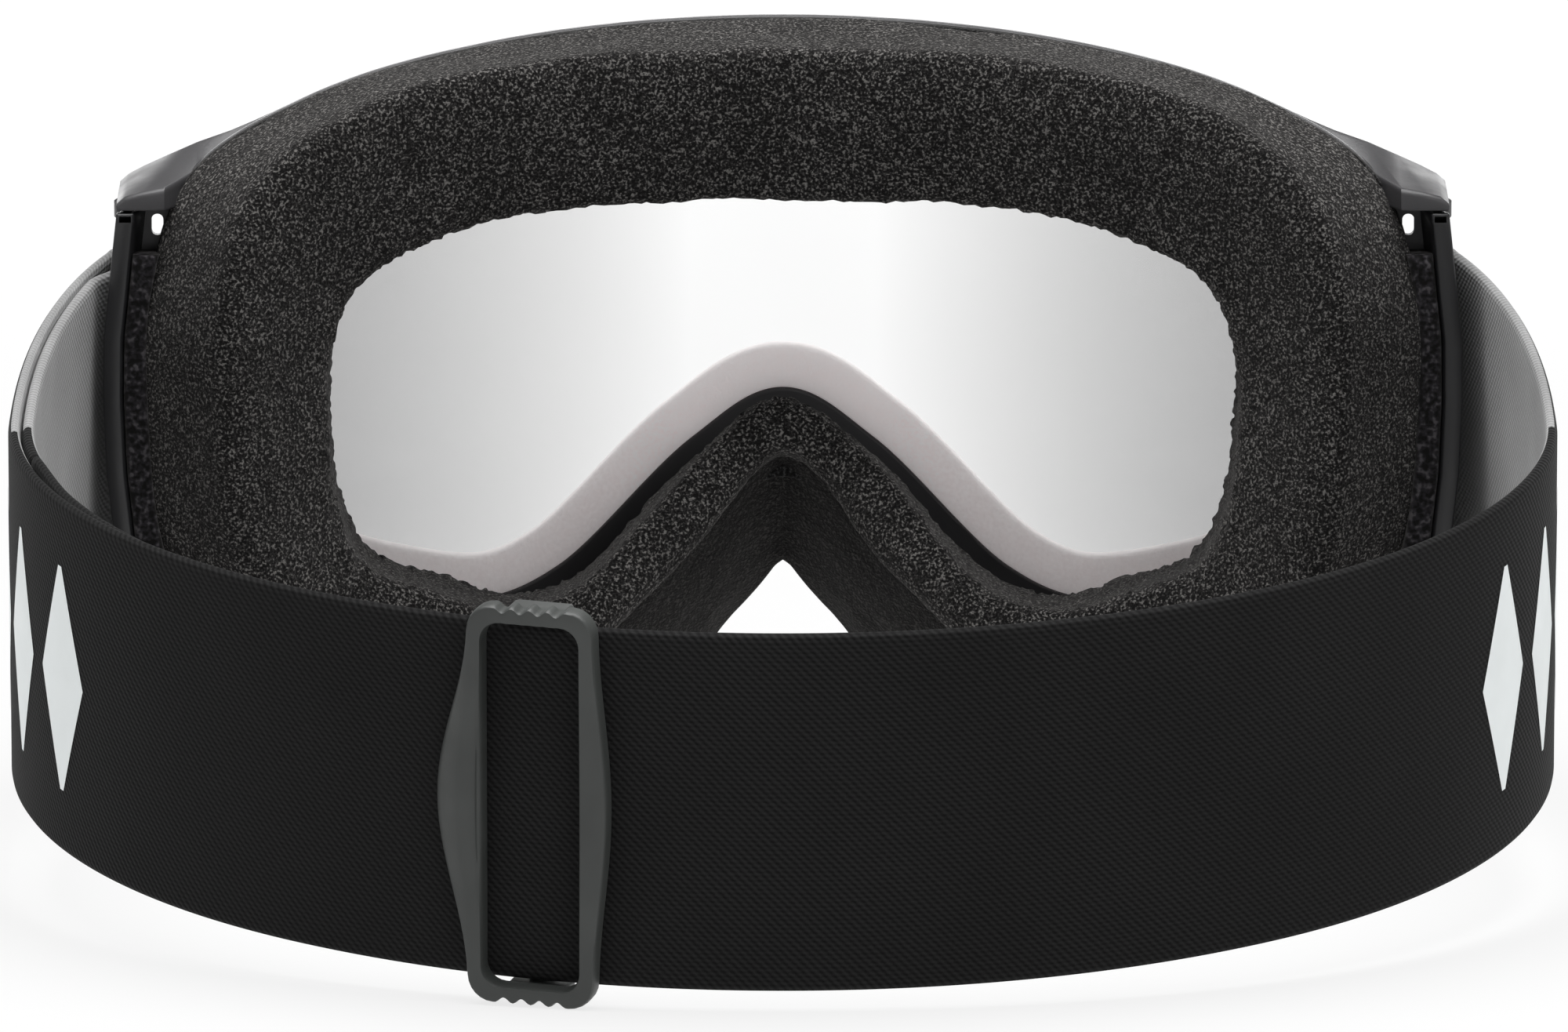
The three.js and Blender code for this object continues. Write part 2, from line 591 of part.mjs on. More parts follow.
// ---------------------------------------------------------------- assembly
add("frame", frame(), MATERIALS.frame);
const vent = ventFoam();
add("top_vent_foam", vent.intersect(box([-60, -200, 70], [60, 200, 110])), MATERIALS.ventFoam);
addPair("bottom_vent_foam", vent.intersect(box([44, -200, -5], [66, 200, 26])), MATERIALS.ventFoam);
addPair("side_vent_foam", sideVentFoam(), MATERIALS.ventFoam);
add("foam_base", foamBase(), MATERIALS.foamBase);
add("face_foam", faceFoam(), MATERIALS.foam);
addPair("nose_flap", noseFlap(), MATERIALS.foam);
lensPieces();
addPair("outrigger", outrigger(), MATERIALS.outrigger);
add("strap_cuff_left", inStrapPlane(cuff(true)), MATERIALS.strap);
add("strap_cuff_right", inStrapPlane(cuff(false)).mirror([1, 0, 0]), MATERIALS.strap);
add("strap", inStrapPlane(strap()), MATERIALS.strap);
add("strap_return", inStrapPlane(strapReturn()), MATERIALS.lining);
add("slider", inStrapPlane(slider()), MATERIALS.slider);
add("slider_loop", inStrapPlane(sliderLoop()), MATERIALS.strap);

export default group;
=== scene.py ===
"""The looks of the ski goggles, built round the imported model.

Lengths are in millimetres until a mesh is made. +X is the wearer's left, -Y is forwards and +Z is up.
A depth is measured back from the outer lens's foremost line, along +Y.
"""
import json
import math

import bmesh
import bpy
import numpy as np
from mathutils import Matrix, Vector, noise

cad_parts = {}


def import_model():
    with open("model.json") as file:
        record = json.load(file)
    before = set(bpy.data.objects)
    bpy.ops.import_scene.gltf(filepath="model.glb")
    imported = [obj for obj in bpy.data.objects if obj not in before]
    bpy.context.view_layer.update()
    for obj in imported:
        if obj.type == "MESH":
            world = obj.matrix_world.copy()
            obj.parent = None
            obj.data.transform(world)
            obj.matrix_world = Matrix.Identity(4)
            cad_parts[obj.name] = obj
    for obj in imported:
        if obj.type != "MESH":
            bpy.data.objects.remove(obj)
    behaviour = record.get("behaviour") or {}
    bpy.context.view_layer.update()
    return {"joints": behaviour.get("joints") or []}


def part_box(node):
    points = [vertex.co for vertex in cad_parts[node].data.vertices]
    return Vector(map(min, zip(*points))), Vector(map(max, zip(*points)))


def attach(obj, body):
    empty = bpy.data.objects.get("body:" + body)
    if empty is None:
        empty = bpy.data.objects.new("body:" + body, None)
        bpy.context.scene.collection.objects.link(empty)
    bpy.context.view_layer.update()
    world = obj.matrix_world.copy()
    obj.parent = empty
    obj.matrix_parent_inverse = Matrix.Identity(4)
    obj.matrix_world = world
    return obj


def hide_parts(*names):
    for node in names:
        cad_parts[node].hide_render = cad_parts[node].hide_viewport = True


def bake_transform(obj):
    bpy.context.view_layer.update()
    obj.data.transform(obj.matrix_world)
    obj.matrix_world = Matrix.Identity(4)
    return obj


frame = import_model()
noise.seed_set(1)  # without a seed the noise is different each time

MM = 0.001
TAU = 2 * math.pi

# ---- places taken from the frame
JOINTS = {j["name"]: j for j in frame["joints"]}


def in_mm(point):
    return np.array([c / MM for c in point])


LENS_FRONT_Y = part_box("outer_lens")[0].y / MM
PIVOT = in_mm(JOINTS["strap_swing"]["pos_m"])
ARC_CENTRE = in_mm(JOINTS["slider_run"]["pos_m"])
STRAP_UP = np.array(JOINTS["slider_run"]["axis"])  # up the strap's width
STRAP_BACK = np.cross(STRAP_UP, (1, 0, 0))  # back from the anchor bars, in the strap's plane
STRAP_PITCH = math.asin(STRAP_UP[1])
BACK_CENTRE = float((ARC_CENTRE - PIVOT) @ STRAP_BACK)

# ---- dimensions, as in the CAD part
LENS_RADIUS = 110
LENS_THICK = 2.0
GASKET_FRONT = 2.2
GASKET_THICK = 3.0
INNER_LENS_FRONT = 5.4
INNER_LENS_THICK = 1.0
INNER_LENS_INSET = 2.7
GASKET_WIDTH = 5.6
LEDGE_FRONT = 2.3
LEDGE_REAR = 4.5
LEDGE_WIDTH = 2.6
RIM_FRONT = -0.6  # the rim stands this much in front of the lens
BEAD_SHARE = 0.275  # where the rim's bead ends, from the rim to the flange
FLANGE_DEPTH = 24
FACE_RADIUS = 130
FLANGE_THICK = 2.0
FOAM_BASE = (24.3, 26.9)
FOAM_FRONT = 27.2
FOAM_REAR_DEPTH = 46
NOSE_TOP = 60  # the notch for the nose is below this height
NOSE_DIP = 13
NOSE_DIP_WIDTH = 18
PEAK_HEIGHT = 2.8  # the foam comes up this much more over the nose than the frame does
PEAK_WIDTH = 14
FLAP_THICK = 3.0
ANCHOR_X = 82.55
ANCHOR_RADIUS = 1.6
STRAP_WIDTH = 45
STRAP_THICK = 1.5
GAP = 0.3  # left between one piece and the next
FOLD_RADIUS = ANCHOR_RADIUS + GAP + STRAP_THICK / 2  # of the strap's middle, round an anchor bar
RETURN_NARROWER = 2.4  # the return layer is this much narrower at the back, and stays behind the strap
TAPER = 45  # the length over which it gets narrower
RETURN_SPLIT = 92  # the inner layer is cut this far back, where the strap stays stiff
RETURN_OVERLAP = 1.6  # the return layer starts this much before the folded end stops
BACK_RADIUS = 100
FOLD_STEPS = 13
SIDE_RADIUS = 87.5
SIDE_CENTRE = (7.5, 75)
LAYER = 1.75  # from the strap's middle to the middle of the layer inside it
SLIDER_ANGLE = math.radians(17.1)
SLIDER_RAISED = 0.15
SLIDER_LENGTH = 50.0
SLIDER_WIDTH = 16
SLIDER_WINDOW = (12.2, 45.6)
SLIDER_THICK = 2.4
SLIDER_BAR = 3.4
SLIDER_BAR_THICK = 2.2
LOOP_END = math.radians(26.2)
PLATE_DEPTHS = (50, 57)  # the outrigger's rear plate, from front to rear
SHELF_BOTTOM = 76.2  # the underside of the shoulder over it
FOOT_RIB = (19, 22)
STITCH_ROWS = (6.5, 9.5)  # along the strap from the anchor bar
STITCH_LENGTH = 1.9
STITCH_THICK = 0.22
STITCH_PITCH = 1.75
STITCH_TILT = 0.55
TACK_HALF = 20.5
DIAMOND_LENGTH = 13
DIAMOND_HALF = 15.5
DIAMOND_PITCH = 17
DIAMOND_REAR = 116  # how far back the last diamond ends
SIDE_NAMES = {1: "left", -1: "right"}  # the wearer's, by the sign of x

LENS_HALF = [
    (0, 89), (34, 87), (58, 82), (69, 73), (72.3, 60.5), (72.6, 47), (70.3, 34.5),
    (62.3, 23.6), (50, 18.4), (37.5, 16.8), (27.5, 20.8), (10, 37.2), (0, 43),
]
RIM_HALF = [
    (0, 92.6), (35, 90.4), (59, 84.8), (72, 75.6), (76.2, 62), (76.7, 48), (74.3, 31.5),
    (65.5, 13), (52, 2), (39, -0.6), (26.5, 10.5), (9, 31.4), (0, 37),
]
FLANGE_HALF = [
    (0, 96.5), (36, 94), (60, 88.3), (75, 79.8), (80.2, 66), (80.7, 50), (78.5, 31.5),
    (70, 12.5), (54, 1.5), (40, -0.6), (27, 10.5), (10.5, 30.6), (0, 37.4),
]
RIDGE_HALF = [
    (0, 94.9), (32, 94), (53, 89.4), (66.3, 79.3), (70.7, 64.7), (70.6, 50), (69, 35),
    (61, 18.5), (49, 9.5), (37, 9), (26, 17), (11, 29.4), (0, 38.6),
]
APERTURE_HALF = [
    (0, 75.5), (29.6, 74.6), (45, 71.2), (54, 66), (57.4, 56.8), (57.5, 48), (56.6, 38.5),
    (52.6, 30.2), (43.6, 26.2), (35, 23.2), (26.5, 25.4), (11, 40.8), (0, 48),
]


# ---- curves
def catmull_rom(points, per_span):
    """A closed centripetal Catmull-Rom curve through the points, with per_span steps between two."""
    p = np.array(points, float)
    before, after, far = np.roll(p, 1, 0), np.roll(p, -1, 0), np.roll(p, -2, 0)
    root = lambda a, b: np.sqrt(np.linalg.norm(a - b, axis=1))[:, None]
    d0, d1, d2 = root(before, p), root(p, after), root(after, far)
    m1 = ((p - before) / d0 - (after - before) / (d0 + d1) + (after - p) / d1) * d1
    m2 = ((after - p) / d1 - (far - p) / (d1 + d2) + (far - after) / d2) * d1
    steps = []
    for t in np.arange(per_span) / per_span:
        steps.append(p + m1 * t + (3 * (after - p) - 2 * m1 - m2) * t**2
                     + (2 * (p - after) + m1 + m2) * t**3)
    return np.stack(steps, 1).reshape(-1, p.shape[1])


def catmull_open(points, per_span):
    """A smooth open path through points."""
    p = np.vstack([2 * points[0] - points[1], points, 2 * points[-1] - points[-2]])
    made = []
    for i in range(1, len(p) - 2):
        for t in np.arange(per_span) / per_span:
            made.append(0.5 * (2 * p[i] + (p[i + 1] - p[i - 1]) * t
                               + (2 * p[i - 1] - 5 * p[i] + 4 * p[i + 1] - p[i + 2]) * t**2
                               + (3 * p[i] - p[i - 1] - 3 * p[i + 1] + p[i + 2]) * t**3))
    return np.array(made + [p[-2]])


def outline(half, per_span=24):
    """A closed outline, (x, z), through half of its points and their mirror image."""
    points = list(half) + [(-x, z) for x, z in half[-2:0:-1]]
    curve = catmull_rom(points, per_span)
    curve[:, 1] = np.maximum(curve[:, 1], 0)
    return curve


def inset(points, distance):
    """A closed outline moved inwards, or outwards by a negative distance."""
    along = np.roll(points, -1, 0) - np.roll(points, 1, 0)
    along /= np.linalg.norm(along, axis=1)[:, None]
    return points + distance * np.stack([along[:, 1], -along[:, 0]], 1)


def back_of(radius, x):
    return radius - np.sqrt(radius**2 - x**2)


def lens_depth(x, offset=0.0):
    return back_of(LENS_RADIUS, x) + offset


def flange_depth(x, offset=0.0):
    return FLANGE_DEPTH + back_of(FACE_RADIUS, x) + offset


def foam_depth(x, z, offset=0.0):
    dip = np.where(z < NOSE_TOP, NOSE_DIP * np.exp(-((x / NOSE_DIP_WIDTH) ** 2)), 0)
    return FOAM_REAR_DEPTH + back_of(FACE_RADIUS, x) - dip + offset


def rail(points, depth):
    """An outline, (x, z), at a depth or with a depth for each of its points."""
    x, z = points.T
    return np.stack([x, LENS_FRONT_Y + depth + 0 * x, z], 1)


def level(plan, z):
    """A plan-view shape, (x, depth), at a height."""
    x, depth = np.array(plan, float).T
    return np.stack([x, LENS_FRONT_Y + depth, z + 0 * x], 1)


def at_lens(points, offset):
    return rail(points, lens_depth(points[:, 0], offset))


def at_face(points, depth):
    """An outline on a cylinder that follows the face."""
    return rail(points, back_of(FACE_RADIUS, points[:, 0]) + depth)


def at_flange(points, offset):
    return at_face(points, FLANGE_DEPTH + offset)


def at_foam(points, offset):
    return rail(points, foam_depth(points[:, 0], points[:, 1], offset))


def square_section(at, outer, inner, front, rear):
    return [at(outer, front), at(inner, front), at(inner, rear), at(outer, rear)]


def peaked(points):
    """The foam comes to a sharper, higher peak over the nose than the frame does."""
    nose = (1 - np.abs(points[:, 0]) / PEAK_WIDTH).clip(0, 1) * (points[:, 1] < NOSE_TOP)
    return points + np.stack([0 * nose, PEAK_HEIGHT * nose], 1)


lens_edge = outline(LENS_HALF)
rim_edge = outline(RIM_HALF)
flange_edge = outline(FLANGE_HALF)
ridge_edge = peaked(outline(RIDGE_HALF))
aperture = outline(APERTURE_HALF)
flange_inner = inset(aperture, -2.5)


# ---- meshes
def mesh_object(name, points, faces, material, uvs=None):
    mesh = bpy.data.meshes.new(name)
    mesh.from_pydata([tuple(p) for p in np.asarray(points, float) * MM], [], faces)
    if uvs is not None:
        layer = mesh.uv_layers.new(name="along_across")
        for loop in mesh.loops:
            layer.data[loop.index].uv = uvs[loop.vertex_index]
    shaped = bmesh.new()
    shaped.from_mesh(mesh)
    bmesh.ops.recalc_face_normals(shaped, faces=shaped.faces)
    shaped.to_mesh(mesh)
    shaped.free()
    mesh.polygons.foreach_set("use_smooth", [True] * len(mesh.polygons))
    mesh.materials.append(material)
    obj = bpy.data.objects.new(name, mesh)
    bpy.context.scene.collection.objects.link(obj)
    return obj


def rounded(rails, radii, steps=4):
    """The rails with the section's corner at each one rounded to about the radius given for it."""
    made = []
    for k, radius in enumerate(radii):
        corner, before, after = rails[k], rails[k - 1], rails[(k + 1) % len(rails)]
        if radius == 0:
            made.append(corner)
            continue
        ends = []
        for other in (before, after):
            way = other - corner
            length = np.linalg.norm(way, axis=1)[:, None]
            ends.append(corner + way * np.minimum(radius / np.maximum(length, 1e-6), 0.45))
        for t in np.linspace(0, 1, steps + 1):
            made.append(ends[0] * (1 - t) ** 2 + corner * 2 * t * (1 - t) + ends[1] * t**2)
    return made


def spread(rails, longest):
    """The rails with more between any two that are further apart than longest."""
    made = []
    for k, one in enumerate(rails):
        other = rails[(k + 1) % len(rails)]
        cuts = math.ceil(np.linalg.norm(other - one, axis=1).max() / longest)
        made += [one + (other - one) * i / cuts for i in range(max(cuts, 1))]
    return made


def grid_faces(rows, columns, close_rows, close_columns):
    faces = []
    for r in range(rows if close_rows else rows - 1):
        for c in range(columns if close_columns else columns - 1):
            r2, c2 = (r + 1) % rows, (c + 1) % columns
            faces.append((r * columns + c, r * columns + c2, r2 * columns + c2, r2 * columns + c))
    return faces


def ring(name, rails, material):
    """A ring-shaped solid whose section has one corner on each rail."""
    faces = grid_faces(len(rails), len(rails[0]), True, True)
    return mesh_object(name, np.concatenate(rails), faces, material)


def bar_of_sections(name, sections, material, uvs=None):
    """A solid through a row of closed sections, with a face at each end."""
    count = len(sections[0])
    faces = grid_faces(len(sections), count, False, True)
    faces.append(tuple(range(count)))
    faces.append(tuple(range((len(sections) - 1) * count, len(sections) * count)))
    return mesh_object(name, np.concatenate(sections), faces, material, uvs)


def roughen(points, amount, size, seed, share=None):
    """The points moved by smooth noise of the given size. share scales it point by point."""
    offset = Vector((seed * 17.3, seed * 5.1, seed * 9.7))
    moved = [noise.noise_vector(Vector(p) / size + offset) for p in points]
    moved = np.array([tuple(m) for m in moved]) * amount
    return points + (moved if share is None else moved * share[:, None])


def apply_modifiers(obj):
    bpy.context.view_layer.update()
    graph = bpy.context.evaluated_depsgraph_get()
    mesh = bpy.data.meshes.new_from_object(obj.evaluated_get(graph))
    obj.modifiers.clear()
    obj.data = mesh
    return obj


def modify(obj, kind, **settings):
    modifier = obj.modifiers.new(kind, kind)
    for name, value in settings.items():
        setattr(modifier, name, value)


def bevel(obj, width, segments=2):
    modify(obj, "BEVEL", width=width * MM, segments=segments, limit_method="ANGLE",
           angle_limit=math.radians(35), harden_normals=True)
    return apply_modifiers(obj)


def cut(obj, cutter):
    modify(obj, "BOOLEAN", operation="DIFFERENCE", solver="EXACT", object=cutter)
    apply_modifiers(obj)
    bpy.data.objects.remove(cutter)
    return obj


def creased(obj, degrees=38):
    obj.data.set_sharp_from_angle(angle=math.radians(degrees))
    return obj


def join(objects, name):
    with bpy.context.temp_override(active_object=objects[0], selected_editable_objects=objects):
        bpy.ops.object.join()
    objects[0].name = name
    objects[0].data.name = name
    return objects[0]


def mirrored(obj, name):
    mesh = obj.data.copy()
    mesh.transform(Matrix.Scale(-1, 4, (1, 0, 0)))
    mesh.flip_normals()
    copy = bpy.data.objects.new(name, mesh)
    bpy.context.scene.collection.objects.link(copy)
    return copy


def rounded_plate(half_x, half_y, radius, steps=6, side=1, end=1):
    """A rounded rectangle, anticlockwise from its lower right, with points along its sides and ends."""
    points = []
    corners = [(1, -1, -90), (1, 1, 0), (-1, 1, 90), (-1, -1, 180)]
    for k, (sx, sy, start) in enumerate(corners):
        for a in np.radians(np.linspace(start, start + 90, steps + 1)):
            points.append((sx * (half_x - radius) + radius * math.cos(a),
                           sy * (half_y - radius) + radius * math.sin(a)))
        cuts = side if k % 2 == 0 else end
        reach = half_y - radius if k % 2 == 0 else half_x - radius
        for t in np.linspace(-1, 1, cuts + 1)[1:-1]:
            along = reach * t
            points.append([(half_x, along), (-along, half_y), (-half_x, -along), (along, -half_y)][k])
    return np.array(points)


def plan_prism(name, plan, low, high, material, width):
    """A plan-view shape, (x, depth), carried up from one height to another, with its edges bevelled."""
    return creased(bevel(bar_of_sections(name, [level(plan, z) for z in (low, high)], material), width))


def turned(name, profile, base, axis, material, steps=28):
    """A solid turned about an axis through base: profile is (distance along it, radius)."""
    axis = Vector(axis).normalized()
    side = axis.orthogonal().normalized()
    other = axis.cross(side)
    ways = [side * math.cos(a) + other * math.sin(a) for a in (TAU * i / steps for i in range(steps))]
    sections = [np.array([Vector(base) + axis * along + way * radius for way in ways])
                for along, radius in profile]
    return creased(bar_of_sections(name, sections, material))


def place(obj, body, slot, *nodes):
    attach(obj, body)
    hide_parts(*nodes)
    return obj


# ---- materials
class Shader:
    """A Principled material and the few nodes that it is made from."""

    def __init__(self, name, **sockets):
        self.material = bpy.data.materials.new(name)
        self.material.use_nodes = True
        self.tree = self.material.node_tree
        self.surface = self.tree.nodes["Principled BSDF"]
        for socket, value in sockets.items():
            self.surface.inputs[socket.replace("_", " ")].default_value = value

    def node(self, kind, inputs=None, **settings):
        made = self.tree.nodes.new(kind)
        for name, value in settings.items():
            setattr(made, name, value)
        for name, value in (inputs or {}).items():
            if isinstance(value, bpy.types.NodeSocket):
                self.tree.links.new(value, made.inputs[name])
            else:
                made.inputs[name].default_value = value
        return made

    def place(self):
        return self.node("ShaderNodeTexCoord").outputs["Object"]

    def noise(self, size, detail=2.0, roughness=0.5, vector=None):
        """Noise whose features are about size mm across."""
        inputs = {"Scale": 1 / (size * MM), "Detail": detail, "Roughness": roughness}
        return self.node("ShaderNodeTexNoise", {"Vector": vector or self.place(), **inputs}).outputs["Fac"]

    def ramp(self, value, *stops):
        """Maps a value through (position, grey or colour) stops."""
        made = self.node("ShaderNodeValToRGB", {"Fac": value})
        elements = made.color_ramp.elements
        while len(elements) < len(stops):
            elements.new(0.5)
        for element, (position, colour) in zip(elements, stops):
            element.position = position
            element.color = (*colour, 1) if isinstance(colour, tuple) else (colour, colour, colour, 1)
        return made.outputs["Color"]

    def math(self, operation, a, b=0.0, c=0.0):
        return self.node("ShaderNodeMath", {0: a, 1: b, 2: c}, operation=operation).outputs[0]

    def multiply(self, a, b):
        """One colour times another."""
        made = self.node("ShaderNodeMix", {0: 1.0, 6: a, 7: b}, data_type="RGBA", blend_type="MULTIPLY")
        return made.outputs[2]

    def set(self, socket, value):
        self.tree.links.new(value, self.surface.inputs[socket])

    def bump(self, *layers):
        """Bumps, each (height, depth in mm), one on top of the other."""
        normal = None
        for height, depth in layers:
            inputs = {"Height": height, "Strength": 1.0, "Distance": depth * MM}
            if normal:
                inputs["Normal"] = normal
            normal = self.node("ShaderNodeBump", inputs).outputs["Normal"]
        self.set("Normal", normal)


def foam_material(name, dark, light, speck, cell, stretch=(1, 1, 1)):
    """Open-cell foam: dark pits between lighter strands, with a dusting of paler specks."""
    foam = Shader(name, Roughness=1.0, Specular_IOR_Level=0.06, Sheen_Weight=0.08, Sheen_Roughness=0.6,
                  Sheen_Tint=(0.9, 0.87, 0.85, 1))
    grain = foam.node("ShaderNodeMapping", {"Vector": foam.place(), "Scale": stretch}).outputs["Vector"]
    strands = foam.noise(cell, 1.5, 0.6, grain)
    base = foam.ramp(strands, (0.42, dark), (0.55, light), (0.66, speck))
    patches = foam.ramp(foam.noise(9, 2.0), (0.3, 0.82), (0.7, 1.12))
    foam.set("Base Color", foam.multiply(base, patches))
    foam.bump((strands, 0.22), (foam.noise(cell * 3, 2.0, 0.5, grain), 0.25))
    return foam.material


def plastic_material(name, colour, roughness, grain, depth, wear=0.15):
    """Moulded plastic: a fine spark-eroded grain, and slightly uneven colour and gloss."""
    plastic = Shader(name, Specular_IOR_Level=0.45)
    low, high = (tuple(c * k for c in colour) for k in (1 - wear, 1 + wear))
    gloss = plastic.ramp(plastic.noise(5, 4.0), (0.3, roughness - 0.06), (0.7, roughness + 0.08))
    plastic.set("Base Color", plastic.ramp(plastic.noise(14, 3.0, 0.55), (0.3, low), (0.7, high)))
    plastic.set("Roughness", gloss)
    plastic.bump((plastic.noise(grain, 3.0, 0.6), depth))
    return plastic.material


TWILL_PITCH = 1.06
RIB_PITCH = 0.55


def webbing_material(name, dark, light, sheen):
    """Woven elastic: a fine diagonal twill, with the weft's ribs across it."""
    web = Shader(name, Roughness=0.8, Specular_IOR_Level=0.12, Sheen_Weight=sheen, Sheen_Roughness=0.4)
    uv = web.node("ShaderNodeUVMap", uv_map="along_across").outputs["UV"]
    parts = web.node("ShaderNodeSeparateXYZ", {"Vector": uv})
    along, across = parts.outputs["X"], parts.outputs["Y"]
    wobble = web.math("MULTIPLY", web.noise(2.2, 2.0), 1.4)
    diagonal = web.math("MULTIPLY_ADD", web.math("ADD", along, across), TAU / TWILL_PITCH, wobble)
    wave = lambda phase: web.math("MULTIPLY_ADD", web.math("SINE", phase), 0.5, 0.5)
    twill = wave(diagonal)
    rib = wave(web.math("MULTIPLY", across, TAU / RIB_PITCH))
    weave = web.math("MULTIPLY_ADD", rib, 0.35, web.math("MULTIPLY", twill, 0.65))
    fuzz = web.noise(0.35, 2.0)
    shade = web.math("MULTIPLY_ADD", fuzz, 0.35, web.math("MULTIPLY", weave, 0.65))
    broad = web.ramp(web.noise(22, 2.0), (0.3, 0.88), (0.7, 1.1))
    web.set("Base Color", web.multiply(web.ramp(shade, (0.2, dark), (0.8, light)), broad))
    web.bump((weave, 0.09), (fuzz, 0.05))
    return web.material


def lens_material(name):
    """Clear polycarbonate with a hard gloss. It is more opaque towards the temples: painted shade, for the
    curved sides seen at a grazing angle.
    """
    lens = Shader(name, Roughness=0.03, IOR=1.5, Specular_IOR_Level=0.3)
    x = lens.node("ShaderNodeSeparateXYZ", {"Vector": lens.place()}).outputs["X"]
    # painted shade: opacity rises with distance from the middle, for the darker look of the lens's sides at a
    # grazing angle
    painted_side_shade = lens.node("ShaderNodeMapRange", {
        "Value": lens.math("ABSOLUTE", x), "From Min": 0.012, "From Max": 0.066, "To Max": 0.22,
    }).outputs["Result"]
    lens.set("Alpha", lens.math("MULTIPLY_ADD", lens.noise(30, 2.0), 0.02, painted_side_shade))
    lens.set("Base Color", lens.ramp(lens.noise(18, 2.0), (0.3, 0.2), (0.7, 0.21)))
    return lens.material


def tape_material():
    """The pinkish foam tape between the lenses, with fine closed cells."""
    # The emission is painted light: the tape glows so that it looks brighter than the shade inside the frame
    # leaves it.
    tape = Shader("gasket_foam", Roughness=0.8, Specular_IOR_Level=0.3, Subsurface_Weight=0.8,
                  Subsurface_Scale=4 * MM, Subsurface_Radius=(1, 0.95, 0.95), Emission_Strength=0.2,
                  Emission_Color=(1, 0.92, 0.92, 1))
    fine = tape.noise(0.5, 3.0, 0.6)
    tape.set("Base Color", tape.ramp(fine, (0.3, (0.9, 0.83, 0.83)), (0.7, (1.0, 0.93, 0.93))))
    tape.bump((fine, 0.08))
    return tape.material


FOAM = foam_material(
    "face_foam", (0.002, 0.0018, 0.0019), (0.019, 0.0182, 0.0178), (0.125, 0.12, 0.115), 0.36)
# The nose flaps are the same foam as the face pad. Their far darker colours are painted shade, for the notch
# over the nose.
NOSE_FOAM_PAINTED_SHADE = foam_material(
    "nose_foam_painted_shade", 0.001, (0.002, 0.0019, 0.0018), (0.024, 0.023, 0.0215), 0.36, (1, 0.35, 1))
FOAM_FIRM = foam_material("base_foam", 0.003, 0.012, 0.04, 0.4)
FOAM_VENT = foam_material("filter_foam", 0.002, (0.014, 0.013, 0.015), (0.05, 0.047, 0.05), 0.9)
FRAME_PLASTIC = plastic_material("frame_plastic", (0.036, 0.035, 0.037), 0.42, 0.35, 0.02)
BRACKET_PLASTIC = plastic_material("bracket_plastic", (0.012, 0.012, 0.013), 0.38, 0.3, 0.015)
SLIDER_PLASTIC = plastic_material("slider_plastic", (0.037, 0.04, 0.038), 0.48, 0.28, 0.02)
WEBBING = webbing_material("webbing", 0.003, 0.0155, 0.02)
LINING = webbing_material("webbing_lining", 0.2, 0.3, 0.1)
OUTER_LENS = lens_material("outer_lens_clear")
INNER_LENS = lens_material("inner_lens_clear")
TAPE = tape_material()
THREAD = plastic_material("thread", (0.02, 0.02, 0.021), 0.7, 0.2, 0.02)
SILICONE = plastic_material("silicone", (0.03, 0.03, 0.031), 0.3, 0.5, 0.01)
MEMBRANE = plastic_material("membrane", (0.62, 0.62, 0.61), 0.8, 0.3, 0.02, 0.06)
PRINT = plastic_material("white_print", (0.88, 0.92, 0.92), 0.5, 0.4, 0.01, 0.04)


# ---- frame
def wall_rail(share, cut_in):
    """Round the frame's wall, at a share of its way from the rim to the flange, and cut in by this much."""
    wall = rim_edge + (flange_edge - rim_edge) * share
    front, rear = lens_depth(wall[:, 0], RIM_FRONT), flange_depth(wall[:, 0], -FLANGE_THICK)
    return rail(inset(wall, cut_in), front * (1 - share) + rear * share)


def frame_shell():
    outside = inset(lens_edge, -GAP)
    ledge = inset(lens_edge, LEDGE_WIDTH)
    rails = [
        at_lens(rim_edge, RIM_FRONT),
        at_lens(outside, RIM_FRONT),
        at_lens(outside, LEDGE_FRONT),
        at_lens(ledge, LEDGE_FRONT),
        at_lens(ledge, LEDGE_REAR),
        at_lens(inset(rim_edge, 2.4), LEDGE_REAR),
        at_flange(inset(flange_edge, 2.8), -FLANGE_THICK),
        at_flange(flange_inner, -FLANGE_THICK),
        at_flange(flange_inner, 0),
        at_flange(flange_edge, 0),
        at_flange(flange_edge, -FLANGE_THICK),
        wall_rail(0.9, 0.7),
        wall_rail(BEAD_SHARE, 0.7),
        wall_rail(BEAD_SHARE - 0.03, 0),
    ]
    radii = [1.0, 0.3, 0.2, 0.3, 0.5, 0.8, 0.8, 0.3, 0.3, 0.5, 0.4, 0.4, 0.3, 0.5]
    return ring("frame_shell", rounded(rails, radii, 3), FRAME_PLASTIC)


def vent_cutter():
    """The five slots along the top of the frame and the one under each cheek."""
    slots = [(x, 7.6, 3.6, 80, 105) for x in (-44, -22, 0, 22, 44)]
    slots += [(x, 4.2, 3.6, -5, 16) for x in (-56, 56)]
    made = []
    for x, half_x, half_depth, low, high in slots:
        depth = (lens_depth(x) + flange_depth(x)) / 2 + 1
        plan = rounded_plate(half_x, half_depth, 2.2, 5) + (x, depth)
        made.append(bar_of_sections("slot", [level(plan, z) for z in (low, high)], FRAME_PLASTIC))
    return join(made, "slots")


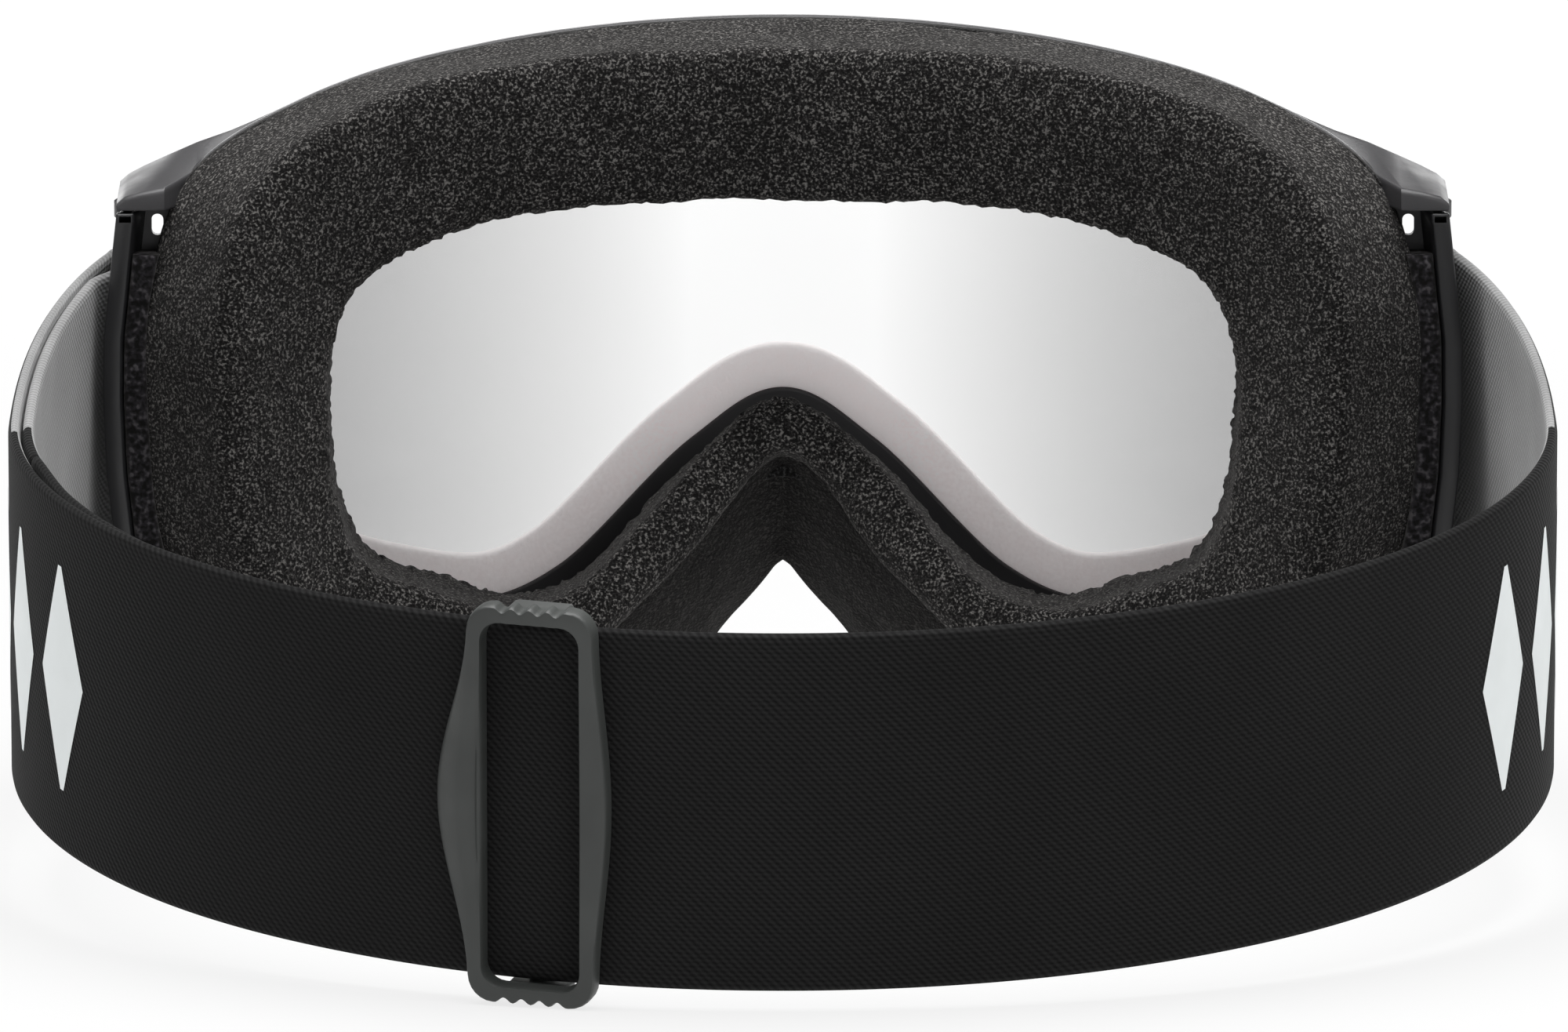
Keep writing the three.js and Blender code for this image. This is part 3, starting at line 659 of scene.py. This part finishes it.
def shoulder():
    """The wedge over the outrigger: it falls away outwards, and its top face rises forwards."""
    x = np.array([64, 67, 70, 74.3, 78, 81, 83, 84.1])
    front_top = np.array([87.4, 86, 84.7, 82.9, 81.1, 79.7, 78.6, 77.6])
    rear_top = np.array([81.6, 81.0, 80.4, 79.7, 79.1, 78.5, 78.0, 77.1])
    front, rear = 38.5, np.interp(x, (72.5, 77.5), (41.5, PLATE_DEPTHS[1]))  # further forwards at the foam
    corner = lambda depth, z: np.stack([x, LENS_FRONT_Y + depth + 0 * x, z + 0 * x], 1)
    rails = [corner(front, SHELF_BOTTOM), corner(front, front_top), corner(rear, rear_top),
             corner(rear, SHELF_BOTTOM)]
    rails = rounded(rails, [0.5, 1.5, 0.7, 0.4], 3)
    sections = [np.array(section) for section in zip(*rails)]
    return creased(bevel(bar_of_sections("shoulder", sections, FRAME_PLASTIC), 0.7, 3))


def web():
    """The thin wall behind the outrigger's top, with a small slot through it."""
    edge = rounded_plate(3.2, 3.1, 0.5, 3) + (79.3, 73.4)
    edge[:, 0] -= ((edge[:, 1] - 73) * 0.35).clip(0)
    slot_edge = rounded_plate(0.75, 1.35, 0.7, 5) + (79.1, 73.6)
    wall = bar_of_sections("web", [rail(edge, depth) for depth in (49.2, 50.6)], FRAME_PLASTIC)
    slot = bar_of_sections("slot", [rail(slot_edge, depth) for depth in (40, 60)], FRAME_PLASTIC)
    return creased(cut(wall, slot))


def lug():
    """The frame's block under the outrigger's foot."""
    plan = rounded_plate(3.1, 4.75, 1.2, 4) + (76.3, 44.75)
    return plan_prism("lug", plan, FOOT_RIB[0] - 3.3, FOOT_RIB[0] - GAP, FRAME_PLASTIC, 0.4)


def frame_side_ribs(x=77.6, low=40, high=62, half_x=1.4, thick=1.2):
    """Short moulded ribs in the frame's side, between the rim's bead and the flange."""
    depth = (lens_depth(x - half_x) + flange_depth(x)) / 2
    plan = rounded_plate(half_x, 5.5, 0.9, 3) + (x, depth)
    return [plan_prism("rib", plan, z, z + thick, FRAME_PLASTIC, 0.35) for z in np.linspace(low, high, 5)]


shell = creased(cut(frame_shell(), vent_cutter()), 42)
left_details = [shoulder(), lug(), web(), *frame_side_ribs()]
details = left_details + [mirrored(piece, piece.name) for piece in left_details]
place(join([shell, *details], "frame_shell"), "frame", "frame", "frame")


# ---- face foam
def foam_base():
    rails = square_section(at_face, flange_edge, inset(flange_inner, -0.3), *FOAM_BASE)
    return ring("foam_base_layer", rounded(rails, [0.5] * 4, 3), FOAM_FIRM)


def face_foam():
    outer = peaked(inset(flange_edge, -0.25))
    rails = [
        at_face(outer, FOAM_FRONT),
        at_face(aperture, FOAM_FRONT),
        at_foam(aperture, -3),
        at_foam(ridge_edge + (aperture - ridge_edge) * 0.3, 0),
        at_foam(ridge_edge, -1.2),
    ]
    rails = spread(rounded(rails, [0.7, 1.0, 1.6, 6, 1.6], 5), 3.0)
    points = roughen(roughen(np.concatenate(rails), 0.5, 13, 1), 0.2, 1.1, 2)
    lip = np.concatenate([(1 - np.hypot(*(r[:, [0, 2]] - aperture).T) / 3).clip(0, 1) for r in rails])
    points = roughen(points, 0.45, 0.9, 4, lip)
    faces = grid_faces(len(rails), len(rails[0]), True, True)
    return mesh_object("face_foam_pad", points, faces, FOAM)


place(foam_base(), "frame", "foam_base", "foam_base")
place(face_foam(), "frame", "foam", "face_foam")


def nose_flap():
    """The left soft flap, from inside the foam's ridge forwards and down to the gap in the middle."""
    columns, rows = 34, 26
    crest = at_foam(ridge_edge + (aperture - ridge_edge) * 0.22, -2.6)
    crest = crest[(crest[:, 0] >= 0) & (crest[:, 0] < 35) & (crest[:, 2] < 56)]
    crest = crest[np.argsort(crest[:, 0])]
    share = np.linspace(0, 1, columns)
    top_x = share * 32
    top = np.stack([top_x] + [np.interp(top_x, crest[:, 0], crest[:, i]) for i in (1, 2)], 1)
    low_x = 0.1 + share * 18.5
    low = np.stack([low_x, LENS_FRONT_Y + 13.5 + 0 * low_x, 24.6 - low_x / math.tan(math.radians(39.5))], 1)
    points = []
    for v in np.linspace(0, 1, rows):
        row = top + (low - top) * v
        row[:, 1] += 1.8 * math.sin(math.pi * v) * np.minimum(share * 5, 1)
        row[:, 2] -= 1.0 * math.sin(math.pi * v) * share
        points.append(row)
    points = roughen(roughen(np.concatenate(points), 0.35, 8, 3), 0.1, 1.6, 5)
    points[::columns, 0] = -0.8  # the two press together in the middle
    flap = mesh_object("nose_flap_pad_left", points, grid_faces(rows, columns, False, False), NOSE_FOAM_PAINTED_SHADE)
    if sum(p.normal.y for p in flap.data.polygons) < 0:
        flap.data.flip_normals()
    modify(flap, "SOLIDIFY", thickness=FLAP_THICK * MM, offset=-1)
    modify(flap, "SUBSURF", levels=1, render_levels=1)
    return apply_modifiers(flap)


left_flap = nose_flap()
right_flap = mirrored(left_flap, "nose_flap_pad_right")
for flap, node in ((left_flap, "nose_flap_left"), (right_flap, "nose_flap_right")):
    place(flap, "frame", "foam", node)


# ---- lens
def lens_sheet(name, edge, front, thick, material, columns=150, rows=60):
    """A bent sheet inside an outline, drawn in columns from its lower edge to its upper one."""
    widest = edge[:, 0].argmax()
    half = edge[: len(edge) // 2 + 1]
    upper, lower = half[: widest + 1], half[widest:][::-1]
    x = edge[widest, 0] * np.sin(np.linspace(-math.pi / 2, math.pi / 2, columns)) * 0.9999
    high = np.interp(np.abs(x), upper[:, 0], upper[:, 1])
    low = np.interp(np.abs(x), lower[:, 0], lower[:, 1])
    z = low[:, None] + (high - low)[:, None] * np.linspace(0, 1, rows)
    points = np.stack([np.repeat(x, rows), z.ravel()], 1)
    sides = [at_lens(points, offset) for offset in (front, front + thick)]
    count = columns * rows
    front_faces = grid_faces(columns, rows, False, False)
    faces = front_faces + [tuple(i + count for i in f) for f in front_faces]
    border = [c * rows for c in range(columns)]
    border += [(columns - 1) * rows + r for r in range(1, rows)]
    border += [c * rows + rows - 1 for c in range(columns - 2, -1, -1)]
    border += list(range(rows - 2, 0, -1))
    for a, b in zip(border, border[1:] + border[:1]):
        faces.append((a, b, b + count, a + count))
    return mesh_object(name, np.concatenate(sides), faces, material)


def gasket():
    outer, inner = inset(lens_edge, INNER_LENS_INSET), inset(lens_edge, INNER_LENS_INSET + GASKET_WIDTH)
    rails = square_section(at_lens, outer, inner, GASKET_FRONT, GASKET_FRONT + GASKET_THICK)
    return ring("lens_gasket_tape", rounded(rails, [0.3, 0.5, 0.5, 0.3], 3), TAPE)


place(lens_sheet("outer_lens_sheet", lens_edge, 0, LENS_THICK, OUTER_LENS), "lens", "lens", "outer_lens")
place(lens_sheet("inner_lens_sheet", inset(lens_edge, INNER_LENS_INSET), INNER_LENS_FRONT,
                 INNER_LENS_THICK, INNER_LENS), "lens", "lens", "inner_lens")
place(gasket(), "lens", "gasket", "lens_gasket")


def pressure_filter():
    """A small round membrane with a turned rim, in the middle of the inner lens's upper edge."""
    low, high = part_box("pressure_filter")
    middle = (Vector(low) + Vector(high)) / 2 / MM
    half = (high.y - low.y) / 2 / MM
    profile = [(-half, 1.2), (-half, 2.9), (0.1, 3.0), (half, 2.7), (half, 2.2), (half - 0.35, 2.0),
               (half - 0.35, 0.5)]
    return turned("pressure_filter_disc", profile, middle, (0, 1, 0), MEMBRANE, 32)


place(pressure_filter(), "lens", "filter", "pressure_filter")

for node in ("top_vent_foam", "bottom_vent_foam_left", "bottom_vent_foam_right"):
    vent_foam = bpy.data.objects[node]
    for material_slot in vent_foam.material_slots:
        material_slot.material = FOAM_VENT


# ---- outriggers
def plate_outer(z):
    """How far out the outrigger's rear plate is at a height."""
    return np.interp(z, [19, 24, 30, 36.5, 42.6, 52, 59.8, 65.3, 71.3, 75.9],
                     [82.9, 83.4, 84.1, 84.8, 85.5, 85.9, 85.8, 85.2, 84.6, 84.1])


def plate():
    """The bowed plate behind the anchor bar, with a raised border on its outer face."""
    front, rear = PLATE_DEPTHS
    sections = []
    for z in np.linspace(FOOT_RIB[0], SHELF_BOTTOM - GAP, 40):
        out = plate_outer(z)
        plan = [(out - 3.7, front), (out - 1.6, front), (out - 1.2, front + 1.2), (out - 0.7, front + 1.5),
                (out - 0.3, rear - 1.5), (out, rear - 1.2), (out, rear), (out - 2.2, rear)]
        sections.append(level(plan, z))
    return creased(bevel(bar_of_sections("plate", sections, BRACKET_PLASTIC), 0.35))


def bar_depth(z):
    """The anchor bar leans as the strap does: its depth at a height."""
    return PIVOT[1] - LENS_FRONT_Y + (z - PIVOT[2]) * math.tan(STRAP_PITCH)


def rib_plan(z, root):
    """The rib that ties the anchor bar to the plate at a height, seen from above."""
    depth, front, rear = bar_depth(z), *PLATE_DEPTHS
    out = plate_outer(z)
    return [*root, (81.2, depth - 2.2), (84, depth - 2.2), (84.2, depth + 2), (out - 1.6, front),
            (out, rear), (out - 2.2, rear)]


def outrigger():
    low, high = FOOT_RIB[0], SHELF_BOTTOM - GAP
    upper = plan_prism("rib", rib_plan(high, [(80.9, 48), (80.2, bar_depth(high))]), high - 1.5, high,
                       BRACKET_PLASTIC, 0.35)
    foot = plan_prism("rib", rib_plan(low + 1.5, [(80.9, 49), (76, 49), (76, 40.5)]), low, FOOT_RIB[1],
                      BRACKET_PLASTIC, 0.4)
    ends = [(z - PIVOT[2]) / STRAP_UP[2] for z in (low + 1, high - 0.6)]
    profile = [(ends[0], 2.3), (ends[0] + 2.4, 2.3), (ends[0] + 3.2, ANCHOR_RADIUS),
               (ends[1] - 2.6, ANCHOR_RADIUS), (ends[1] - 1.9, 2.3), (ends[1], 2.3)]
    base = Vector((ANCHOR_X, PIVOT[1], PIVOT[2]))
    bar = turned("bar", profile, base, STRAP_UP, BRACKET_PLASTIC)
    screw = turned("screw", [(-0.2, 2.2), (0.5, 2.2), (0.9, 1.8), (0.9, 1.0), (0.4, 0.9)],
                   (78.2, LENS_FRONT_Y + 44.7, FOOT_RIB[1]), (0, 0, 1), BRACKET_PLASTIC)
    return join([plate(), upper, foot, bar, screw], "outrigger_bracket_left")


def side_strip():
    """The textured filter strip down the frame's side, between the foam and the outrigger's plate."""
    side = flange_edge[(flange_edge[:, 0] > 60) & (flange_edge[:, 1] < 80)]
    side = side[np.argsort(side[:, 1])]
    sections = []
    for z in np.linspace(21, 70.5, 34):
        out = min(83.3, plate_outer(z) - 2.6)
        near = np.interp(z, side[:, 1], side[:, 0]) - 0.5
        plan = rounded_plate((out - near) / 2, 2.6, 0.6, 3) + ((out + near) / 2, 54)
        sections.append(level(plan, z))
    return bar_of_sections("side_filter_strip_left", sections, FOAM_VENT)


SIDE_PIECES = ((outrigger(), "outrigger", "outrigger"), (side_strip(), "vent_foam", "side_vent_foam"))
for left, slot_name, node in SIDE_PIECES:
    right = mirrored(left, left.name.replace("left", "right"))
    place(left, "frame", slot_name, node + "_left")
    place(right, "frame", slot_name, node + "_right")


# ---- strap
def in_strap(u, v, w):
    """A point in the strap's plane: u across, v back from the anchor bars, w up the strap's width."""
    u, v, w = np.broadcast_arrays(u, v, w)
    return PIVOT + u[..., None] * np.array([1, 0, 0]) + v[..., None] * STRAP_BACK + w[..., None] * STRAP_UP


def arc(centre, radius, angles):
    return np.stack([centre[0] + radius * np.cos(angles), centre[1] + radius * np.sin(angles)], 1)


def on_arc(angle, radius):
    """At the back, the angle being from the middle towards the wearer's left."""
    return np.stack([radius * np.sin(angle), BACK_CENTRE + radius * np.cos(angle)], -1)


def strap_middle():
    """The middle of the strap's thickness on the wearer's left, from the anchor bar to the back, (u, v)."""
    reach = SIDE_CENTRE[0] + SIDE_RADIUS
    p = np.array([(ANCHOR_X + FOLD_RADIUS, 0), (90.5, 14), (reach, 38), (reach, SIDE_CENTRE[1])])
    t = np.linspace(0, 1, 60)[:-1, None]
    leg = (1 - t) ** 3 * p[0] + 3 * (1 - t) ** 2 * t * p[1] + 3 * (1 - t) * t**2 * p[2] + t**3 * p[3]
    join_angle = math.atan2(SIDE_CENTRE[0], SIDE_CENTRE[1] - BACK_CENTRE)
    side = arc(SIDE_CENTRE, SIDE_RADIUS, np.linspace(0, math.pi / 2 - join_angle, 60)[:-1])
    back = arc((0, BACK_CENTRE), BACK_RADIUS, np.linspace(math.pi / 2 - join_angle, math.pi / 2, 50))
    return np.concatenate([leg, side, back])


def ways_out(path):
    """The way out from a path at each of its points."""
    along = np.gradient(path, axis=0)
    along /= np.linalg.norm(along, axis=1)[:, None]
    return np.stack([along[:, 1], -along[:, 0]], 1)


def lengths_along(path):
    return np.concatenate([[0], np.cumsum(np.linalg.norm(np.diff(path, axis=0), axis=1))])


def resampled(path, spacing):
    lengths = lengths_along(path)
    at = np.linspace(0, lengths[-1], max(int(lengths[-1] / spacing), 2))
    return np.stack([np.interp(at, lengths, path[:, i]) for i in range(2)], 1), at


def band(name, path, materials, narrower=0.0, folded=(0, 0), spacing=1.6, edge=1.1):
    """A length of webbing along a path in the strap's plane, with rounded selvedges.

    It gets narrower, by this much, over the first TAPER of its length.
    materials are the outer face's and the inner face's. Each folded end has them the other way round.
    """
    path, at = resampled(path, spacing)
    out = ways_out(path)
    half, thick = STRAP_WIDTH / 2, STRAP_THICK / 2
    flat = np.linspace(-half + edge, half - edge, 15)
    turn = np.linspace(-math.pi / 2, math.pi / 2, 7)[1:-1]
    section = [(w, thick) for w in flat]
    section += [(half - edge + edge * math.cos(a), -thick * math.sin(a)) for a in turn]
    section += [(w, -thick) for w in flat[::-1]]
    section += [(-half + edge - edge * math.cos(a), thick * math.sin(a)) for a in turn]
    w = np.array([p[0] for p in section])
    widths = 1 - narrower / STRAP_WIDTH * (at / TAPER).clip(0, 1)
    offset = np.array([p[1] for p in section])
    sections, uvs = [], []
    for p, n, s, share in zip(path, out, at, widths):
        sections.append(in_strap(p[0] + n[0] * offset, p[1] + n[1] * offset, w * share))
        uvs += [(s, q) for q in w]
    made = bar_of_sections(name, sections, materials[0], uvs)
    made.data.materials.append(materials[1])
    count = len(section)
    # A selvedge goes with the outer face where that looks back, and with the inner face elsewhere.
    for polygon in made.data.polygons:
        row = min(polygon.vertices) // count
        over = at[row] < folded[0] or at[row] > at[-1] - folded[1]
        way = -1 if over else 1
        limit = -0.6 if way * out[row][1] > 0.05 else 0.9 if over else 0.5
        if way * np.mean([offset[v % count] for v in polygon.vertices]) < thick * limit:
            polygon.material_index = 1
    return made


half_path = strap_middle()
inner_leg = half_path - LAYER * ways_out(half_path)


def cuff_path(reach):
    """From this far back along the inner layer to the anchor bar, and round it to the outer layer.

    With a reach of 0 only a short end lies inside the strap.
    """
    inner = inner_leg[(inner_leg[:, 1] > 12) & (inner_leg[:, 1] < reach) & (inner_leg[:, 0] > 60)][::-1]
    foot = [(ANCHOR_X + 0.3, 6)] if len(inner) else [(ANCHOR_X + 0.2, 8), (ANCHOR_X + 0.2, 4)]
    round_bar = arc((ANCHOR_X, 0), FOLD_RADIUS, np.linspace(math.pi, TAU, FOLD_STEPS + 1))
    return np.concatenate([inner, foot, round_bar])


def on_side(side, path):
    """A path as drawn on the wearer's left (1), or its mirror image on the right (-1)."""
    return path * np.array([side, 1])


def turns_with_strap(piece):
    """Bakes a piece's placement into its mesh."""
    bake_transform(piece)
    return piece


left_end = cuff_path(RETURN_SPLIT)
right_end = cuff_path(0)
right_half = on_side(-1, np.concatenate([right_end[:-1], half_path]))[::-1]
whole = np.concatenate([left_end, half_path[1:], right_half[1:]])
fold_lengths = [lengths_along(end[:-FOLD_STEPS])[-1] for end in (left_end, right_end)]
strap = turns_with_strap(band("strap_webbing", whole, (WEBBING, LINING), folded=fold_lengths))
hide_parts("strap", "strap_cuff_left", "strap_cuff_right")


def return_path():
    """The return layer, from where the folded end hands over to it to its loop round the slider's bar."""
    leg = inner_leg[(inner_leg[:, 1] >= RETURN_SPLIT - RETURN_OVERLAP)
                    & (inner_leg[:, 0] > on_arc(LOOP_END, BACK_RADIUS)[0])]
    inside_bar = BACK_RADIUS - STRAP_THICK - 2 * GAP - SLIDER_BAR_THICK
    angles = SLIDER_ANGLE + np.array([0.062, 0.034, 0.016, 0, -0.016, -0.032])
    radii = np.array([BACK_RADIUS - LAYER - 0.1] + [inside_bar] * 5)
    return catmull_open(np.concatenate([leg[::12], on_arc(angles, radii)]), 5)


def arc_point(angle):
    """A point on the strap's middle line at the back, in metres."""
    u, v = on_arc(angle, BACK_RADIUS)
    return tuple(in_strap(u, v, 0.0) * MM)


strap_end = band("strap_return_webbing", return_path(), (WEBBING, LINING), RETURN_NARROWER)
arc_point(math.radians(56))
arc_point(math.radians(27))
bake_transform(strap_end)
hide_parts("strap_return", "slider_loop")


def along_path(path):
    """Functions from a length along a path to the point there and to the way out from it."""
    lengths, ways = lengths_along(path), ways_out(path)
    at = lambda s: np.array([np.interp(s, lengths, path[:, i]) for i in range(2)])
    out = lambda s: np.array([np.interp(s, lengths, ways[:, i]) for i in range(2)])
    return at, out


def diamond(path, start, lift, columns=14, rows=16):
    """A thin print lying on the band."""
    at, out = along_path(path)
    points = []
    for t in np.linspace(0, 1, columns):
        reach = DIAMOND_HALF * (1 - abs(2 * t - 1)) + 0.05
        p, n = at(start + t * DIAMOND_LENGTH), out(start + t * DIAMOND_LENGTH)
        points += [in_strap(*(p + n * lift), w) for w in np.linspace(-reach, reach, rows)]
    return mesh_object("diamond", points, grid_faces(columns, rows, False, False), PRINT)


def strap_motif(side):
    """A row of tall diamonds along the strap's outer side."""
    path = on_side(side, half_path)
    lift = side * (STRAP_THICK / 2 + 0.06)
    outward = slice(len(path) * 2 // 3)
    end = np.interp(DIAMOND_REAR, path[outward, 1], lengths_along(path)[outward])
    pieces = [diamond(path, end - DIAMOND_LENGTH - k * DIAMOND_PITCH, lift) for k in range(5)]
    return join(pieces, "strap_motif_" + SIDE_NAMES[side])


for motif_side in SIDE_NAMES:
    motif = strap_motif(motif_side)
    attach(motif, "strap")


def stitch(path, s, w, lift, tilt):
    """One stitch, a small spindle lying on the band. tilt turns it from across the band to along it."""
    at, out = along_path(path)
    sections = []
    for t in np.linspace(-1, 1, 7):
        bulge = STITCH_THICK * math.sqrt(max(1 - t * t, 0.02))
        step = t * STITCH_LENGTH / 2
        p, n = at(s + step * math.sin(tilt)), out(s)
        ring_points = []
        for a in np.linspace(0, TAU, 7)[:-1]:
            q = p + n * (lift + bulge * 0.7 * math.sin(a))
            ring_points.append(in_strap(*q, w + step * math.cos(tilt) + bulge * math.cos(a) * math.sin(tilt)))
        sections.append(np.array(ring_points))
    return bar_of_sections("stitch", sections, THREAD)


def bar_tack(path, s, lift):
    """A zigzag of stitches across the band."""
    made = []
    for k in range(int(2 * TACK_HALF / STITCH_PITCH)):
        tilt = STITCH_TILT if k % 2 else -STITCH_TILT
        made.append(stitch(path, s, -TACK_HALF + (k + 0.5) * STITCH_PITCH, lift, tilt))
    return join(made, "tack")


def anchor_stitching(side):
    """Two zigzag rows on the outside, through the strap and its folded end."""
    rows = [bar_tack(on_side(side, half_path), s, side * (STRAP_THICK / 2 + 0.02)) for s in STITCH_ROWS]
    return turns_with_strap(join(rows, "anchor_stitching_" + SIDE_NAMES[side]))


for stitched_side in SIDE_NAMES:
    anchor_stitching(stitched_side)


def grip_lines():
    """Two wavy beads of silicone inside the back of the strap, on the wearer's right, clear of the slider."""
    length = lengths_along(half_path)[-1]
    at, out = along_path(on_side(-1, half_path))
    made = []
    for middle in (-9, 9):
        sections = []
        for s in np.linspace(length - 96, length, 150):
            w = middle + 2.2 * math.sin(s / 4.2)
            centre = in_strap(*(at(s) + out(s) * STRAP_THICK / 2), w)
            inwards = in_strap(*(at(s) + out(s)), w) - in_strap(*at(s), w)
            sections.append(np.array([centre + STRAP_UP * 1.1 * math.cos(a) + inwards * 0.45 * math.sin(a)
                                      for a in np.linspace(0, TAU, 11)[:-1]]))
        made.append(bar_of_sections("bead", sections, SILICONE))
    return join(made, "strap_grip_beads")


beads = grip_lines()
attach(beads, "strap")


# ---- slider
def on_slider(points):
    """From (across, up its length, out from the strap) to its place on the back arc."""
    across, up, out = np.asarray(points, float).T
    middle = on_arc(SLIDER_ANGLE, BACK_RADIUS)
    u = middle[0] - across * math.cos(SLIDER_ANGLE) + out * math.sin(SLIDER_ANGLE)
    v = middle[1] + across * math.sin(SLIDER_ANGLE) + out * math.cos(SLIDER_ANGLE)
    return in_strap(u, v, SLIDER_RAISED + up)


def slider_plate():
    """The ring: a wide scooped thumb grip on one side, a narrow bar on the other, scalloped ends."""
    half_x, half_y = SLIDER_WIDTH / 2, SLIDER_LENGTH / 2
    sides, ends = 26, 30
    outer = rounded_plate(half_x, half_y, 3.2, 6, sides, ends)
    inner = rounded_plate(SLIDER_WINDOW[0] / 2, SLIDER_WINDOW[1] / 2, 2.4, 6, sides, ends)
    swell = np.cos(math.pi * outer[:, 1] / (2 * (half_y - 2))).clip(0) ** 2
    grip = np.abs(outer[:, 0]) > half_x - 0.01
    outer[:, 0] += np.where(grip & (outer[:, 0] > 0), 1.6, 0) * swell
    outer[:, 0] -= np.where(grip & (outer[:, 0] < 0), 4.4, 0) * swell
    scallop = np.where((np.abs(outer[:, 1]) > half_y - 0.01) & (np.abs(outer[:, 0]) < 4.6),
                       0.35 - 0.35 * np.cos(TAU * (outer[:, 0] + 4.6) / 2.3), 0)
    outer[:, 1] -= np.sign(outer[:, 1]) * scallop
    face = STRAP_THICK / 2 + GAP
    top = face + SLIDER_THICK
    thumb = (outer[:, 0] < 0) * swell
    across = lambda share, height: np.column_stack([outer + (inner - outer) * share, height + 0 * thumb])
    rails = [across(0.0, face), across(0.0, top - 0.7 - thumb * 1.7), across(0.04, top - 0.2 - thumb * 1.7)]
    for share in np.linspace(0.1, 0.92, 15):
        slope, groove = max(0.0, 1 - share / 0.52), math.exp(-((share - 0.84) / 0.05) ** 2)
        scoop = thumb * (2.0 * slope**1.4 + 0.4 * groove)
        rails.append(across(share, top - scoop + 0.12 * math.sin(math.pi * share)))
    rails += [across(0.96, top - 0.15), across(1.0, top - 0.6), across(1.0, face)]
    return creased(ring("slider_ring", [on_slider(r) for r in rails], SLIDER_PLASTIC), 50)


def slider_block(half_x, low, high, inside, outside):
    """A rounded block of the slider, from one place up its length to another."""
    sections = []
    for up in (low, high):
        plan = rounded_plate(half_x, (outside - inside) / 2, 0.6, 4)
        sections.append(on_slider([(x, up, (outside + inside) / 2 + y) for x, y in plan]))
    return creased(bevel(bar_of_sections("block", sections, SLIDER_PLASTIC), 0.3))


def slider():
    half = SLIDER_LENGTH / 2
    bar_face = -STRAP_THICK / 2 - GAP
    bar_back = bar_face - SLIDER_BAR_THICK
    pieces = [slider_plate(), slider_block(SLIDER_BAR / 2, 1 - half, half - 1, bar_back, bar_face)]
    for end in (1, -1):
        near = STRAP_WIDTH / 2 + 0.4 - end * SLIDER_RAISED
        low, high = sorted((end * near, end * (half - 0.9)))
        pieces.append(slider_block(SLIDER_BAR / 2 + 2, low, high, bar_back, 1.5))
    return join(pieces, "slider_moulding")


place(slider(), "slider", "slider", "slider")


# ---- stage
def floor():
    """White, and brighter away from the lights so that it has no edge."""
    surface = Shader("floor_white", Roughness=0.9, Specular_IOR_Level=0.0, Base_Color=(0.12, 0.12, 0.12, 1),
                     Emission_Color=(1, 1, 1, 1))
    away = surface.node("ShaderNodeVectorMath", {0: surface.place()}, operation="LENGTH").outputs["Value"]
    glow = surface.node("ShaderNodeMapRange", {
        "Value": away, "From Min": 0.2, "From Max": 1.1, "To Min": 0.78, "To Max": 1.0,
    }, interpolation_type="SMOOTHSTEP").outputs["Result"]
    surface.set("Emission Strength", glow)
    corners = [(-12000, -12000, 0), (12000, -12000, 0), (12000, 12000, 0), (-12000, 12000, 0)]
    mesh_object("floor", corners, [(0, 1, 2, 3)], surface.material)


def area_light(name, place_at, aim, size, power):
    data = bpy.data.lights.new(name, "AREA")
    data.shape = "RECTANGLE"
    data.size, data.size_y = size
    data.energy = power
    light = bpy.data.objects.new(name, data)
    light.location = place_at
    light.rotation_euler = (Vector(aim) - Vector(place_at)).to_track_quat("-Z", "Y").to_euler()
    bpy.context.scene.collection.objects.link(light)


def world():
    made = bpy.data.worlds.new("studio")
    made.use_nodes = True
    background = made.node_tree.nodes["Background"].inputs
    background["Color"].default_value = (1, 1, 1, 1)
    background["Strength"].default_value = 0.25
    bpy.context.scene.world = made


def camera():
    """A long lens, 9.2 degrees above the horizon, behind the wearer."""
    elevation, distance = math.radians(9.2), 2.7027
    data = bpy.data.cameras.new("camera")
    data.lens = 498.9
    data.sensor_width = 36
    data.clip_start, data.clip_end = 0.1, 40
    made = bpy.data.objects.new("camera", data)
    look = Vector((-0.00015, -0.0009, 0.0445))
    back = Vector((0, math.cos(elevation), math.sin(elevation)))
    made.location = look + back * distance
    made.rotation_euler = (-back).to_track_quat("-Z", "Y").to_euler()
    bpy.context.scene.collection.objects.link(made)
    bpy.context.scene.camera = made


floor()
world()
camera()
area_light("overhead", (0, 0.05, 0.9), (0, 0, 0.05), (0.9, 0.9), 17)
area_light("in_front", (0, -1.5, 0.24), (0, 0, 0.07), (1.6, 0.3), 6.5)
area_light("behind_wearer", (-0.7, 1.4, 0.7), (0, 0, 0.04), (0.8, 0.5), 3)
bpy.context.scene.view_settings.view_transform = "Standard"
